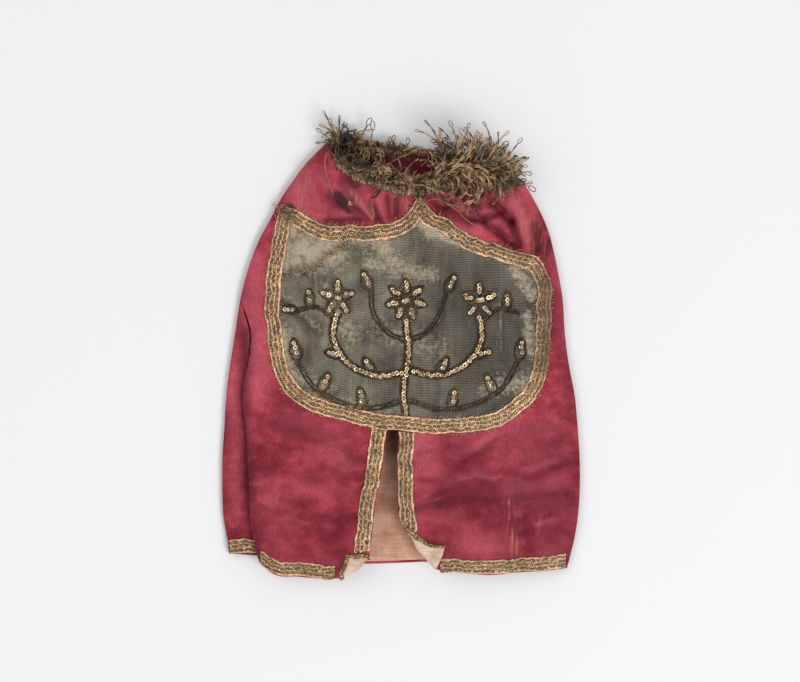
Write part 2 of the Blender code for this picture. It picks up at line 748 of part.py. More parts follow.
def back_panel(satin):
    """The back: flat on the floor, turned up at both sides and wrapped over on the left."""
    sheet = Sheet()
    share, strip_rows = back_rows()
    left_y = BACK_HEM[0].y + share * (BACK_NECK[0].y - BACK_HEM[0].y)
    right_y = BACK_HEM[-1].y + share * (BACK_NECK[-1].y - BACK_HEM[-1].y)
    left = np.stack([left_side(left_y), left_y], axis=1)
    right = np.stack([right_side(right_y), right_y], axis=1)
    near = np.array(BACK_NEAR_EDGE)
    across = np.concatenate([near, np.linspace(*BACK_COLUMNS), 1 - near[::-1]])
    hem_x = left[0, 0] + across * (right[0, 0] - left[0, 0])
    neck_x = left[-1, 0] + across * (right[-1, 0] - left[-1, 0])
    hem = np.stack([hem_x, along(BACK_HEM, hem_x)], axis=1)
    neck = np.stack([neck_x, along(BACK_NECK, neck_x)], axis=1)
    plan = patch(left, right, hem, neck, across, share)
    x, y = plan[..., 0], plan[..., 1]
    grid = sheet.add(np.stack([x, y, back_height(x, y)], axis=-1))
    sheet.weave(grid)
    add_strip(sheet, grid[:strip_rows, 0], left[:strip_rows])
    sheet.solid("back_panel", BODY_THICK, satin)


def add_strip(sheet, edge, left):
    """The part of the back that wraps over the left side and runs in under the front."""
    y = left[:, 1]
    end = front_left(y) + smooth(TUCK_Y, TUCK_LAP, y)
    width = np.maximum(end - left[:, 0], 0)
    x = left[:, :1] + width[:, None] * np.array(STRIP_COLUMNS)
    wide_y = np.broadcast_to(y[:, None], x.shape)
    numbers = sheet.add(np.stack([x, wide_y, strip_height(x, wide_y)], axis=-1))
    numbers[-1] = edge[-1]
    sheet.weave(np.concatenate([edge[:, None], numbers], axis=1))


def lining_front(linen):
    """The front's lining below the shield, which the turned corners show."""
    sheet = Sheet()
    shared = None
    for side, across in ((-1, COLUMNS_LEFT), (1, COLUMNS_RIGHT)):
        plan = front_half(side, across)
        kept_columns = [0, 1, 2, *range(4, across - 3, 2)]
        plan = plan[: SPLIT_ROW + 2, kept_columns].copy()
        turned = TURNED_LEFT if side < 0 else TURNED_RIGHT
        _, direction, _, _ = fold_frame(turned)
        plan[0, 0] -= LINING_CORNER_INSET * direction
        plan[0, 1:, 1] += LINING_HEM_INSET
        plan[LINE_ROWS - 1 : SPLIT_ROW, 0, 0] += side * LINING_VENT_INSET
        plan[LINE_ROWS - 1, 0, 0] += side * LINING_VENT_INSET
        from_vent = np.abs(plan[..., 0] - plan[:, :1, 0])
        from_corner = np.maximum(plan[..., 1] - plan[LINE_ROWS, 0, 1], 0)
        sag = LINING_SAG * ease(np.maximum(from_vent, from_corner) / LINING_SAG_LENGTH)
        grid = sheet.add(front_cloth(plan, LINING_DROP - sag[..., None]))
        if shared is None:
            shared = grid[SPLIT_ROW:, 0]
        grid[SPLIT_ROW:, 0] = shared
        sheet.weave(grid)
        line = plan[:LINE_ROWS, 0]
        add_flap(sheet, turned, grid[:LINE_ROWS, 0], line, LINING_DROP, LINING_VENT_INSET)
    sheet.solid("lining_front", LINING_THICK, linen)


def lining_back(linen):
    """The back's lining, which shows through the vent."""
    up = np.linspace(0, 1, 11)
    across = np.linspace(0, 1, 10)
    x0 = BACK_HEM[0].x + LINING_SIDE_INSET
    x1 = BACK_HEM[-1].x - LINING_SIDE_INSET
    hem_x = x0 + across * (x1 - x0)
    hem = np.stack([hem_x, along(BACK_HEM, hem_x) + LINING_HEM_INSET], axis=1)
    sides = []
    for end, side_of, inward in ((0, left_side, 1), (-1, right_side, -1)):
        y = hem[end, 1] + up * (LINING_BACK_TOP - hem[end, 1])
        sides.append(np.stack([side_of(y) + inward * LINING_SIDE_INSET, y], axis=1))
        hem[end] = sides[-1][0]
    left, right = sides
    top = left[-1] + across[:, None] * (right[-1] - left[-1])
    plan = patch(left, right, hem, top, across, up)
    level = np.full(plan.shape[:2], FLOOR_LEVEL - LINING_DROP)
    sheet = Sheet()
    sheet.weave(sheet.add(np.concatenate([plan, level[..., None]], axis=2)))
    sheet.solid("lining_back", LINING_THICK, linen)


def inset_ring(ring, distance):
    """A closed clockwise outline moved inwards, with its sharp corners cut across."""
    if distance == 0:
        return ring
    tangent = np.roll(ring, -1, axis=0) - np.roll(ring, 1, axis=0)
    tangent /= np.linalg.norm(tangent, axis=1, keepdims=True)
    moved = ring + distance * np.stack([tangent[:, 1], -tangent[:, 0]], axis=1)
    clear = distance_to_line(moved, ring) > INSET_KEPT * distance
    place = np.arange(len(ring))
    for axis in (0, 1):
        known = moved[clear, axis]
        moved[:, axis] = np.interp(place, place[clear], known, period=len(ring))
    return moved


def shield(lame):
    """The shield of ribbed metal cloth, whose raw edge lies under its braid."""
    near = np.array(SHIELD_NEAR_EDGE)
    middle = np.linspace(SHIELD_MIDDLE_START, 1 - SHIELD_MIDDLE_START, SHIELD_MIDDLE_COLUMNS)
    across = np.concatenate([near, middle, 1 - near[::-1]])
    up = np.concatenate([np.linspace(0, SHIELD_EVEN_TOP, SHIELD_EVEN_ROWS), SHIELD_TOP_ROWS])
    edges = (SHIELD_TOP, SHIELD_RIGHT, SHIELD_BOTTOM, SHIELD_LEFT)
    lengths = [len(outline_points(edge, OUTLINE_STEP)) - 1 for edge in edges]
    ring = inset_ring(shield_outline(OUTLINE_STEP), SHIELD_EDGE_SHARE * SHIELD_BRAID_WIDTH)
    ring = np.concatenate([ring, ring[:1]])
    ends = [0, *np.cumsum(lengths)]
    top, right, bottom, left = [ring[a : b + 1] for a, b in zip(ends[:-1], ends[1:])]

    def even(line, shares):
        run = np.linspace(0, 1, len(line))
        return np.stack([np.interp(shares, run, line[:, i]) for i in (0, 1)], axis=1)

    plan = patch(
        even(left, up),
        even(right[::-1], up),
        even(bottom[::-1], across),
        even(top, across),
        across,
        up,
    )
    sheet = Sheet()
    sheet.weave(sheet.add(front_cloth(plan, SHIELD_LIFT)))
    sheet.solid("shield", SHIELD_THICK, lame)


def shield_braid(braid):
    """The braid round the shield: its outer edge on the body, the rest on the shield."""
    ring = shield_outline(BRAID_STEP)
    sheet = Sheet()
    lines = []
    for share, lift in ((0.0, ON_BODY), (BRAID_CLIMB, ON_SHIELD), (1.0, ON_SHIELD)):
        plan = inset_ring(ring, share * SHIELD_BRAID_WIDTH)
        lines.append(sheet.add(front_cloth(plan, lift)))
    grid = np.stack([np.append(line, line[0]) for line in lines])
    sheet.weave(grid)
    sheet.solid("braid_shield", BRAID_THICK, braid)


def strip_of_braid(name, outer, inner, height_of, braid):
    """A braid between its outer and inner edge lines, laid by height_of."""
    shares = np.array([0.0, 0.5, 1.0])[:, None, None]
    plan = outer + shares * (inner - outer)
    sheet = Sheet()
    sheet.weave(sheet.add(height_of(plan)))
    sheet.solid(name, BRAID_THICK, braid)


def on_front(plan):
    return front_cloth(plan, ON_BODY)


def vent_braids(braid):
    """The braids down both edges of the vent, from under the shield's braid to the corners."""
    share = np.linspace(0, 1, VENT_BRAID_ROWS)
    for made in VENT_BRAIDS:
        xs, ys = columns(made.edge)
        y_outer = made.outer_end + share * (VENT_BRAID_TOP - made.outer_end)
        y_inner = made.inner_end + share * (VENT_BRAID_TOP - made.inner_end)
        edge_x = smooth(ys, xs, np.maximum(y_inner, made.outer_end))
        outer_x = smooth(ys, xs, y_outer) + made.side * BRAID_INSET
        inner_x = edge_x + made.side * (BRAID_INSET + VENT_BRAID_WIDTH)
        outer = np.stack([outer_x, y_outer], axis=1)
        inner = np.stack([inner_x, y_inner], axis=1)
        strip_of_braid(made.name, outer, inner, on_front, braid)


def hem_braids(braid):
    """The braids along the front's hem, on each side of the vent."""
    for made in HEM_BRAIDS:
        x = np.linspace(made.x0, made.x1, round((made.x1 - made.x0) / HEM_BRAID_STEP) + 1)
        outer = np.stack([x, along(FRONT_HEM, x) + BRAID_INSET], axis=1)
        inner = outer + np.array([0.0, HEM_BRAID_WIDTH])
        inner[0, 0] = made.x0_inner
        strip_of_braid(made.name, outer, inner, on_front, braid)


def side_braid(braid):
    """The braid on the hem of the wrapped-over side strip."""
    lines = []
    for height in (BRAID_INSET, BRAID_INSET + HEM_BRAID_WIDTH):
        y = BACK_HEM[0].y + height
        left = float(left_side(y)) + SIDE_BRAID_CLEARANCE
        end = float(front_left(y)) + TUCKED_UNDER
        x = np.linspace(left, end, SIDE_BRAID_COLUMNS)
        lines.append(np.stack([x, np.full(SIDE_BRAID_COLUMNS, y)], axis=1))

    def on_strip(plan):
        x, y = plan[..., 0], plan[..., 1]
        place = np.stack([x, y, strip_height(x, y)], axis=-1)
        return place + ON_BODY * normals(strip_height, x, y)

    strip_of_braid("braid_hem_side", lines[0], lines[1], on_strip, braid)


def tube(path, radius, sides):
    """Points and faces of a closed tube along a path."""
    ahead = np.gradient(path, axis=0)
    ahead /= np.linalg.norm(ahead, axis=1, keepdims=True)
    reference = np.array([0.0, 0.0, 1.0])
    if abs(ahead[0] @ reference) > 0.9:
        reference = np.array([1.0, 0.0, 0.0])
    rings = []
    for point, forward in zip(path, ahead):
        sideways = np.cross(forward, reference)
        sideways /= np.linalg.norm(sideways)
        reference = np.cross(sideways, forward)
        turn = 2 * math.pi * np.arange(sides) / sides
        ring = np.outer(np.cos(turn), sideways) + np.outer(np.sin(turn), reference)
        rings.append(point + radius * ring)
    points = np.concatenate(rings)
    faces = [list(range(sides))[::-1]]
    for i in range(len(path) - 1):
        for j in range(sides):
            k = (j + 1) % sides
            low, high = i * sides, (i + 1) * sides
            faces.append([low + j, low + k, high + k, high + j])
    faces.append(list(range((len(path) - 1) * sides, len(path) * sides)))
    return points, faces


def loop_path(root, outward, sideways, lift, length, width):
    """A teardrop of cord that leaves root, rounds its tip and comes back beside itself."""
    steps, spread = np.array(LOOP_RUN), width * np.array(LOOP_SPREAD)
    arch = LOOP_ARCH * length * np.sin(math.pi * steps)
    run = np.outer(length * steps, outward) + np.outer(arch, lift)
    side_a, side_b = np.outer(spread, sideways), -np.outer(spread, sideways)
    path = np.concatenate([run + side_a, (run + side_b)[-2::-1]])
    path[0] -= outward * ROOT_DEPTH
    path[-1] -= outward * ROOT_DEPTH
    return root + path


def tuft_loops(tufts, heading_point):
    """The cord loops of a fringe, each rooted on its heading."""
    points, faces = [], []
    for tier, tuft in enumerate(tufts):
        for i in range(tuft.count):
            share = i / (tuft.count - 1)
            x = tuft.x0 + share * (tuft.x1 - tuft.x0)
            turn = math.radians(tuft.turn0 + share * (tuft.turn1 - tuft.turn0))
            rise = math.radians(tuft.rise + RISE_SWING * math.sin(2.3 * i + tier))
            length = tuft.length * (1 + LENGTH_SWING * math.sin(1.7 * i + 2.0 * tier))
            flat = np.array([math.sin(turn), math.cos(turn), 0.0])
            outward = flat * math.cos(rise) + np.array([0, 0, math.sin(rise)])
            sideways = np.array([math.cos(turn), -math.sin(turn), 0.0])
            lift = np.cross(sideways, outward)
            root = heading_point(x, tuft.inset)
            path = loop_path(root, outward, sideways, lift, length, tuft.width)
            made, its_faces = tube(path, CORD_RADIUS, CORD_SIDES)
            start = sum(len(p) for p in points)
            points.append(made)
            faces.extend([[v + start for v in face] for face in its_faces])
    return np.concatenate(points), faces


def fringe(name, heading, tufts, heading_point, cord):
    """A heading strip with its loops joined on."""
    strip = heading.solid(name, HEADING_THICK, cord)
    points, faces = tuft_loops(tufts, heading_point)
    mesh = bpy.data.meshes.new(name + "_loops")
    mesh.from_pydata([tuple(p * MM) for p in points], [], faces)
    face_outwards(mesh)
    loops = bpy.data.objects.new(name + "_loops", mesh)
    bpy.context.collection.objects.link(loops)
    loops.hide_render = True
    loops.display_type = "WIRE"
    join = strip.modifiers.new("loops", "BOOLEAN")
    join.operation = "UNION"
    join.object = loops
    join.solver = "EXACT"
    join.use_self = True


def front_fringe(cord):
    """The fringe along the front of the neck."""
    x = np.linspace(*HEADING_ENDS, HEADING_COLUMNS)
    edge = np.stack([x, along(FRONT_NECK, x)], axis=1)
    slope = np.gradient(edge[:, 1], x)
    down = np.stack([slope, -np.ones_like(slope)], axis=1)
    down /= np.linalg.norm(down, axis=1, keepdims=True)
    widths = np.array([-HEADING_OVERHANG, HEADING_WIDTH / 2, HEADING_WIDTH])
    plan = edge + widths[:, None, None] * down
    sheet = Sheet()
    sheet.weave(sheet.add(front_cloth(plan, HEADING_LIFT)))

    def heading_point(at, inset):
        place = np.array([at, float(along(FRONT_NECK, at)) - inset])
        return front_cloth(place, HEADING_LIFT)

    fringe("fringe_front", sheet, FRONT_TUFTS, heading_point, cord)


def back_fringe(cord):
    """The fringe along the inside of the neck's back edge."""
    x = np.linspace(*BACK_HEADING_ENDS, BACK_HEADING_COLUMNS)
    edge = np.stack([x, along(BACK_NECK, x)], axis=1)
    drops = np.array([BACK_HEADING_INSET, BACK_HEADING_INSET + BACK_HEADING_WIDTH])
    plan = edge - drops[:, None, None] * np.array([0.0, 1.0])

    def laid(points):
        px, py = points[..., 0], points[..., 1]
        place = np.stack([px, py, back_height(px, py)], axis=-1)
        return place + BACK_HEADING_LIFT * normals(back_height, px, py)

    sheet = Sheet()
    sheet.weave(sheet.add(laid(plan)))

    def heading_point(at, inset):
        return laid(np.array([at, float(along(BACK_NECK, at)) - BACK_HEADING_INSET - inset]))

    fringe("fringe_back", sheet, BACK_TUFTS, heading_point, cord)


def main():
    for thing in list(bpy.data.objects):
        bpy.data.objects.remove(thing)
    satin = material("crimson_satin", (0.36, 0.055, 0.075), 0.42)
    lame = material("grey_lame", (0.16, 0.15, 0.12), 0.45, 0.35)
    braid = material("gilt_braid", (0.36, 0.24, 0.12), 0.5, 0.25)
    cord = material("gilt_cord", (0.12, 0.07, 0.035), 0.45, 0.5)
    linen = material("linen", (0.52, 0.33, 0.24), 0.85)
    front_panel(satin)
    back_panel(satin)
    lining_front(linen)
    lining_back(linen)
    shield(lame)
    shield_braid(braid)
    vent_braids(braid)
    hem_braids(braid)
    side_braid(braid)
    front_fringe(cord)
    back_fringe(cord)


main()
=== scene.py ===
"""The looks of the cloth mantle: fine cloth, braid, fringe, couched ornament and finishes.

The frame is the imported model. Tables and sizes here are in millimetres, and the last step of each
mesh turns them into metres. Places that were read from the photograph as pixels were turned into
millimetres at 0.8 mm a pixel.
"""

import math
from collections import namedtuple

import bmesh
import bpy
import numpy as np
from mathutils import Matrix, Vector


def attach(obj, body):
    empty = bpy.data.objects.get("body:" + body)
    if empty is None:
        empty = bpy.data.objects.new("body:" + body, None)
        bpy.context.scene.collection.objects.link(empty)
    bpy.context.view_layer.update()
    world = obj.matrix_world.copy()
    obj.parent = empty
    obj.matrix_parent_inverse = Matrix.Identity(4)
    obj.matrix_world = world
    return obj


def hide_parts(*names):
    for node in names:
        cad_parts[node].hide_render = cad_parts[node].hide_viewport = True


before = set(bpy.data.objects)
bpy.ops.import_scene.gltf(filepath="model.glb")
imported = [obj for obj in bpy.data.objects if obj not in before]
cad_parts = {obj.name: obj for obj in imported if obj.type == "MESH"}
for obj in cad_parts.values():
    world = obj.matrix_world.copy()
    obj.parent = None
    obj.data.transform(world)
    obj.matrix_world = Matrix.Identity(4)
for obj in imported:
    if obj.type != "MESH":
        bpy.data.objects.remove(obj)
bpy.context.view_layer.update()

MM = 0.001


def rows_of(kind, *rows):
    """A table of named rows."""
    return [kind(*row) for row in rows]


# Thicknesses of the cloths and the clear gap between sewn layers.
BODY_THICK = 0.9
LINING_THICK = 0.6
SHIELD_THICK = 0.8
BRAID_THICK = 0.8
GAP = 0.25
LINING_SAG = 2.4
LINING_SAG_LENGTH = 22.0

# How far the middle of each layer lies from the middle of the body cloth.
ON_BODY = BODY_THICK / 2 + GAP + BRAID_THICK / 2
SHIELD_LIFT = BODY_THICK / 2 + 2 * GAP + SHIELD_THICK / 2
ON_SHIELD = SHIELD_LIFT + SHIELD_THICK / 2 + GAP + BRAID_THICK / 2
LINING_DROP = -(BODY_THICK / 2 + GAP + LINING_THICK / 2)

# The flattened tube: the side folds' height and the section's fullness.
FLOOR_LEVEL = BODY_THICK / 2
SIDE_LEVEL = 3.8
SIDE_RADIUS = 5.0
SECTION_POWER = 2.2
SECTION_ROOT = 1.45
SEAM_GAP = 0.5
SEAM_SHARE = 0.20
FOLDS_SHARE = 0.35
BACK_NECK_RISE = 5.0
NECK_RISE_START = 124.0
NECK_RISE_LENGTH = 36.0

# Small unevenness of the cloth: its size across, its height and a number that sets its pattern.
Lump = namedtuple("Lump", "size height seed")
BODY_LUMPS = [Lump(34.0, 0.9, 3.0), Lump(13.0, 0.45, 7.0), Lump(5.0, 0.12, 11.0)]
SHIELD_LUMPS = [Lump(22.0, 0.8, 23.0), Lump(8.0, 0.42, 29.0), Lump(3.4, 0.13, 31.0)]
EDGE_LUMPS = [Lump(11.0, 0.75, 41.0), Lump(3.6, 0.5, 43.0), Lump(1.6, 0.2, 47.0)]

Side = namedtuple("Side", "y left right crown")
SIDES = rows_of(
    Side,
    (-192, -133, 128, 17.5), (-177.6, -135.2, 132.4, 17.5), (-166.4, -136.8, 135.2, 18),
    (-155.2, -138.4, 138, 18.5), (-136, -141.6, 141, 19.5), (-116.8, -142.4, 142.4, 20.5),
    (-91.2, -142.4, 142.4, 21.5), (-65.6, -140.8, 140.8, 22), (-40, -139.2, 138.4, 22),
    (-14.4, -136, 133.6, 22), (11.2, -132, 130.4, 22.5), (36.8, -128, 128.8, 22.5),
    (56, -123.2, 125.6, 23), (75.2, -116.8, 121.6, 23), (88, -111.2, 118.4, 23.5),
    (100.8, -104, 113.6, 23.5), (113.6, -97.6, 107.2, 24), (126.4, -89.6, 100, 24),
    (133, -84.8, 96, 24), (145.6, -75.2, 88, 24), (154, -67.2, 83, 24), (161.6, -59.2, 78, 24),
)

# The front panel's left edge. Below the shoulder it lies over the side strip in a tuck: strip is
# the most that the strip may rise there, and lap is how far it runs on under the front.
Tuck = namedtuple("Tuck", "y front_left strip lap")
TUCKS = rows_of(
    Tuck,
    (-192, -106, 4.6, 9), (-176, -111.2, 4.8, 9), (-168, -114.4, 5, 9), (-155.2, -117.2, 5.4, 9),
    (-136, -120, 5.8, 9), (-116.8, -120.8, 6, 9), (-91.2, -122.4, 6, 9), (-65.6, -123.6, 6, 8),
    (-52.8, -125.6, 6, 7), (-40, -126.4, 6.2, 6), (-27.2, -124.8, 6.2, 4), (-14.4, -121.6, 6.2, 1.5),
    (-4, -120, 6.6, -1.4), (11.2, -119.6, 14, -1.5), (24, -123.2, 26, -1.4), (36.8, -128, 40, 0),
)
TUCK_TOP = TUCKS[-1].y
TUCK_FADE = 50.0
STRIP_SOFTNESS = 0.9
EDGE_CURL = 1.4
EDGE_CURL_WIDTH = 3.0
EDGE_LIFT = 3.0
EDGE_LIFT_WIDTH = 24.0
EDGE_LIFT_TOP = -60.0
EDGE_LIFT_FADE = 60.0

# Outlines of the cut edges, left to right.
Edge = namedtuple("Edge", "x y")
FRONT_HEM = rows_of(
    Edge,
    (-111.2, -174), (-104, -180.5), (-80.8, -184.4), (-52, -187), (-28, -187.2), (8.8, -181),
    (28.8, -181.2), (48, -182), (71.2, -183.2), (95.2, -180.8), (115, -179.8), (132.4, -177.6),
)
BACK_HEM = rows_of(
    Edge,
    (-136.8, -166.4), (-95, -169.5), (-35, -174.4), (25, -172.8), (80, -172.8), (133, -174),
)
FRONT_NECK = rows_of(
    Edge,
    (-59.2, 161), (-52, 150.5), (-43, 142.5), (-32, 136.5), (-17, 131.5), (0, 127.5), (15, 126.5),
    (31, 129.5), (47, 132), (63, 132), (80, 131.5), (96, 132),
)
BACK_NECK = rows_of(
    Edge,
    (-59.2, 161.6), (-44.8, 161.2), (-16.8, 160), (0, 158.4), (19.2, 157), (40, 153), (60, 147.5),
    (80, 140.5), (96, 132.6),
)

# The vent below the shield, with the edges of its two flaps.
VENT_TOP = -56.0
VENT_AXIS = -5.5
VENT_LEFT = rows_of(
    Edge,
    (-25.6, -187), (-25.6, -168), (-23.2, -152), (-21.6, -136), (-18.4, -115.2), (-15.2, -98),
    (-13.6, -83.2), (-11.2, -70), (-9.6, -62),
)
VENT_RIGHT = rows_of(
    Edge,
    (8.8, -181), (3.2, -145.6), (-0.8, -139.2), (-2.4, -127.2), (-3.2, -115.2), (-3.2, -99.2),
    (-2.4, -83.2), (-1.8, -70), (-2.6, -62),
)

# A vent corner turned up over its fold line, which runs from the vent edge to the hem.
# foot is where the tip stands along that line, as a share, and reach the tip's flat distance.
Turned = namedtuple("Turned", "vent_x vent_y hem_x hem_y radius foot reach")
TURNED_RIGHT = Turned(4.6, -142.6, 29.6, -178.6, 3.4, 0.72, 23.0)
ROLL_TAPER = 0.45
ROLL_LEAST = 0.30
TURNED_LEFT = Turned(-25.0, -166.4, -50.6, -185.4, 2.8, 0.46, 19.0)

# Folds and gathers of the front: soft ridges, and troughs where height is negative.
Fold = namedtuple("Fold", "x0 y0 x1 y1 width height")
FOLDS = rows_of(
    Fold,
    (-56.8, 120, -36, 107.2, 10, -3.9), (-44.8, 128, -23.2, 102.4, 7, 3.4),
    (-26.4, 114.4, -18.8, 96, 5, -2.6), (-20.4, 121.6, -13.4, 99.2, 5, 3.1),
    (-12, 118.8, -9.6, 99.6, 4, -3.4), (-4, 116.8, -3.6, 97.6, 4, -3.6),
    (-60, 101, -16, 101.5, 4, -2.1), (35.2, 110.4, 64.8, 100, 6, -3.6),
    (64.8, 100, 81.6, 108, 5.5, -3.1), (73.6, 114.4, 88, 99.2, 6, -5.5),
    (88, 99.2, 93.6, 79.2, 6, -5.5), (66.4, 97.6, 88.8, 82, 5.5, -4.7), (55.2, 97, 87.2, 91, 4.5, 2.1),
    (84.8, 124.8, 101.4, 84.8, 10, 3.4), (105.6, 97.6, 108.8, 75.2, 6, -4.2),
    (112, 104, 116, 99, 5, -1.8), (-75, 139, -66, 112, 11, 1.8), (14, 124, 30, 112, 5, -2.1),
    (22, 128, 46, 117, 5, 1.8), (40, 127, 62, 112, 5, -2), (31.2, -123.2, 127.2, -116.8, 20, -3),
    (26.2, -127.2, 62, -108, 9, -1.6), (19.2, -110.8, 79.2, -104.4, 6, 1),
    (46, -105.5, 79, -103.5, 4, 1.2), (47.2, -92, 76, -73.6, 8, -1.9),
    (14.4, -104.8, 34, -104.8, 3.6, -0.9), (15.2, -80, 29, -84, 4.6, -0.8),
    (31, -97.4, 44, -98.6, 4, -0.8), (15.2, -136.4, 38.4, -135, 6, 0.9), (62, -164, 82, -166, 7, -1.2),
    (47.4, -91.8, 71.7, -82.2, 5, -1.5), (45.6, -106, 59.5, -101.3, 4, 1.4),
    (59.5, -101.3, 73.5, -105.7, 4, 1.4), (12.6, -129.2, 47.4, -112.8, 9, -1.7),
    (14.3, -105.7, 30, -107.4, 4, -1.1), (14.3, -90.9, 24.8, -94.4, 4, 1),
    (101, -103.1, 123.9, -94.4, 8, -1.6), (106.5, -141.3, 123.9, -136.1, 4.5, 1.1),
    (-70, -136.1, -33, -136.1, 4, -1.2), (96.8, -138, 99.2, -160, 9, -2.2), (129, -56, 134, -59, 5, -1),
    (-111.2, -60.8, -56.8, -73.6, 15, -1.6), (-88.8, -67.6, -64.8, -77.6, 5, -0.9),
    (-44.8, -82, -32.8, -88, 6, -1), (-111.2, -100.4, -56.8, -104.4, 9, -1.4),
    (-119.2, -125.2, -96.8, -133.2, 7, -1.2), (-60.8, -134.8, -39.2, -136.4, 5, -1),
    (-40.8, -150, -60, -166, 14, -1.4), (-66, -112, -40, -116, 9, 0.9), (-96, -88, -60, -92, 9, 0.8),
    (123.2, 42, 126.2, 38, 6, -1.6), (127.2, 26.8, 130, 22, 6, -1.6),
    (121.6, 6.8, 124.6, -11.6, 6, -1.4),
)
GATHER_HEIGHT = 1.5
GATHER_LENGTH = 15.0
GATHER_PITCH = 19.0
PLEAT_HEIGHT = 0.7
PLEAT_LENGTH = 9.0
PLEAT_PITCH = 6.5
HEM_WAVE_HEIGHT = 1.3
HEM_WAVE_LENGTH = 26.0
HEM_WAVE_PITCH = 54.0

# The shield: its outline is the braid's outer edge, read clockwise from the top left corner.
SHIELD_TOP = rows_of(
    Edge,
    (-96, 110.4), (-89, 109.4), (-80, 106.6), (-72.8, 101.6), (-64.8, 97.4), (-54, 95.2), (-40, 95.2),
    (-20, 95.4), (-7.2, 97.4), (1.6, 102), (8.8, 109.5), (14.4, 116.4), (19.6, 111.5), (25.6, 106),
    (35.2, 101), (45, 94), (55, 87.6), (66.4, 83.4), (82, 78.4), (96, 73.6), (108.8, 70.4),
)
SHIELD_RIGHT = rows_of(
    Edge,
    (108.8, 70.4), (114.4, 61), (117.8, 52), (119.2, 43), (118.8, 28), (118, 4.8), (116.6, -14.4),
    (113, -30), (105.6, -43.2),
)
SHIELD_BOTTOM = rows_of(
    Edge,
    (-91, -38.5), (-84, -45), (-76, -50), (-64.8, -54.2), (-48.8, -58.4), (-32.8, -62.4),
    (-16.8, -65.6), (0, -67.6), (16, -69.2), (34, -69.8), (50, -69.4), (66, -67.4), (80, -63.2),
    (93, -55.4), (105.6, -43.2),
)
SHIELD_LEFT = rows_of(
    Edge,
    (-91, -38.5), (-97.6, -28), (-102.4, -15), (-105, 0), (-106.6, 14.4), (-107.2, 30), (-107, 46),
    (-106, 62), (-103, 78), (-99.6, 96), (-96, 110.4),
)
SHIELD_FADE = 6.0
SHIELD_BRAID_WIDTH = 11.6
SHIELD_EDGE_SHARE = 0.56
INSET_KEPT = 0.94
BRAID_CLIMB = 0.40

# How finely the cloths are drawn. The front's rows run along a corner's fold line, up the vent
# and up the axis above it, which both halves share.
LINE_ROWS = 22
VENT_ROWS = 50
VENT_ROW_CROWDING = 1.15
SPLIT_ROW = LINE_ROWS + VENT_ROWS - 2
FOLDS_START = 60.0
SHIELD_ROWS = 40
NECK_ROWS = 52
COLUMNS_LEFT = 58
COLUMNS_RIGHT = 74
NEAR_EDGE = (0.014, 0.007, 0.003, 0.0)
BACK_NEAR_EDGE = (0.0, 0.0008, 0.0024, 0.0050, 0.0085, 0.0135)
BACK_COLUMNS = (0.024, 0.976, 70)
STRIP_COLUMNS = tuple(0.02 + 0.98 * i / 16 for i in range(17))
OUTLINE_STEP = 1.0
ROLL_STEPS = 12
LAID_STEPS = 8
LEAST_STEP = 0.2
NORMAL_STEP = 0.8
FIELD_STEP = 0.8
FIELD_START = (-150.0, -196.0)
FIELD_COUNT = (375, 460)
# The linings stand in from the cloth's edges.
LINING_HEM_INSET = 2.0
LINING_VENT_INSET = 1.2
LINING_CORNER_INSET = 3.0
LINING_SIDE_INSET = 11.0
LINING_BACK_TOP = 104.0

BACK_ROWS_LOW = 70
BACK_ROWS_HIGH = 44
LINING_COLUMNS = 70
LINING_RIPPLE = 0.4
SHIELD_COLUMNS = 110
SHIELD_ROWS_OWN = 84

# The braids: three raised rows of metal thread on a pale ground.
BRAID_STEP = 0.45
BRAID_COLUMNS = 19
BRAID_ROWS = (0.22, 0.50, 0.78)
BRAID_ROW_HALF = 0.115
BRAID_ROW_HEIGHT = 0.34
TWIST_PITCH = 1.7
TWIST_HEIGHT = 0.17
VENT_BRAID_WIDTH = 11.6
VENT_BRAID_TOP = -70.5
HEM_BRAID_WIDTH = 10.8
BRAID_INSET = 0.7
BRAID_TO_BRAID = 0.9
SIDE_BRAID_CLEARANCE = 1.2
TUCKED_UNDER = 2.6
CORNER_BRAID_WIDTH = 3.4
CORNER_BRAID_OUT = 0.6
CORNER_BRAID_LIFT = -LINING_DROP + LINING_THICK / 2 + GAP + BRAID_THICK / 2
VentBraid = namedtuple("VentBraid", "name edge side outer_end inner_end")
VENT_BRAIDS = [
    VentBraid("vent_braid_left", VENT_LEFT, -1, -163.4, -166.2),
    VentBraid("vent_braid_right", VENT_RIGHT, 1, -141.4, -149.0),
]
HemBraid = namedtuple("HemBraid", "name x0 x1")
HEM_BRAIDS = [
    HemBraid("hem_braid_left", -111.0, -52.4),
    HemBraid("hem_braid_right", 31.0, 131.0),
]

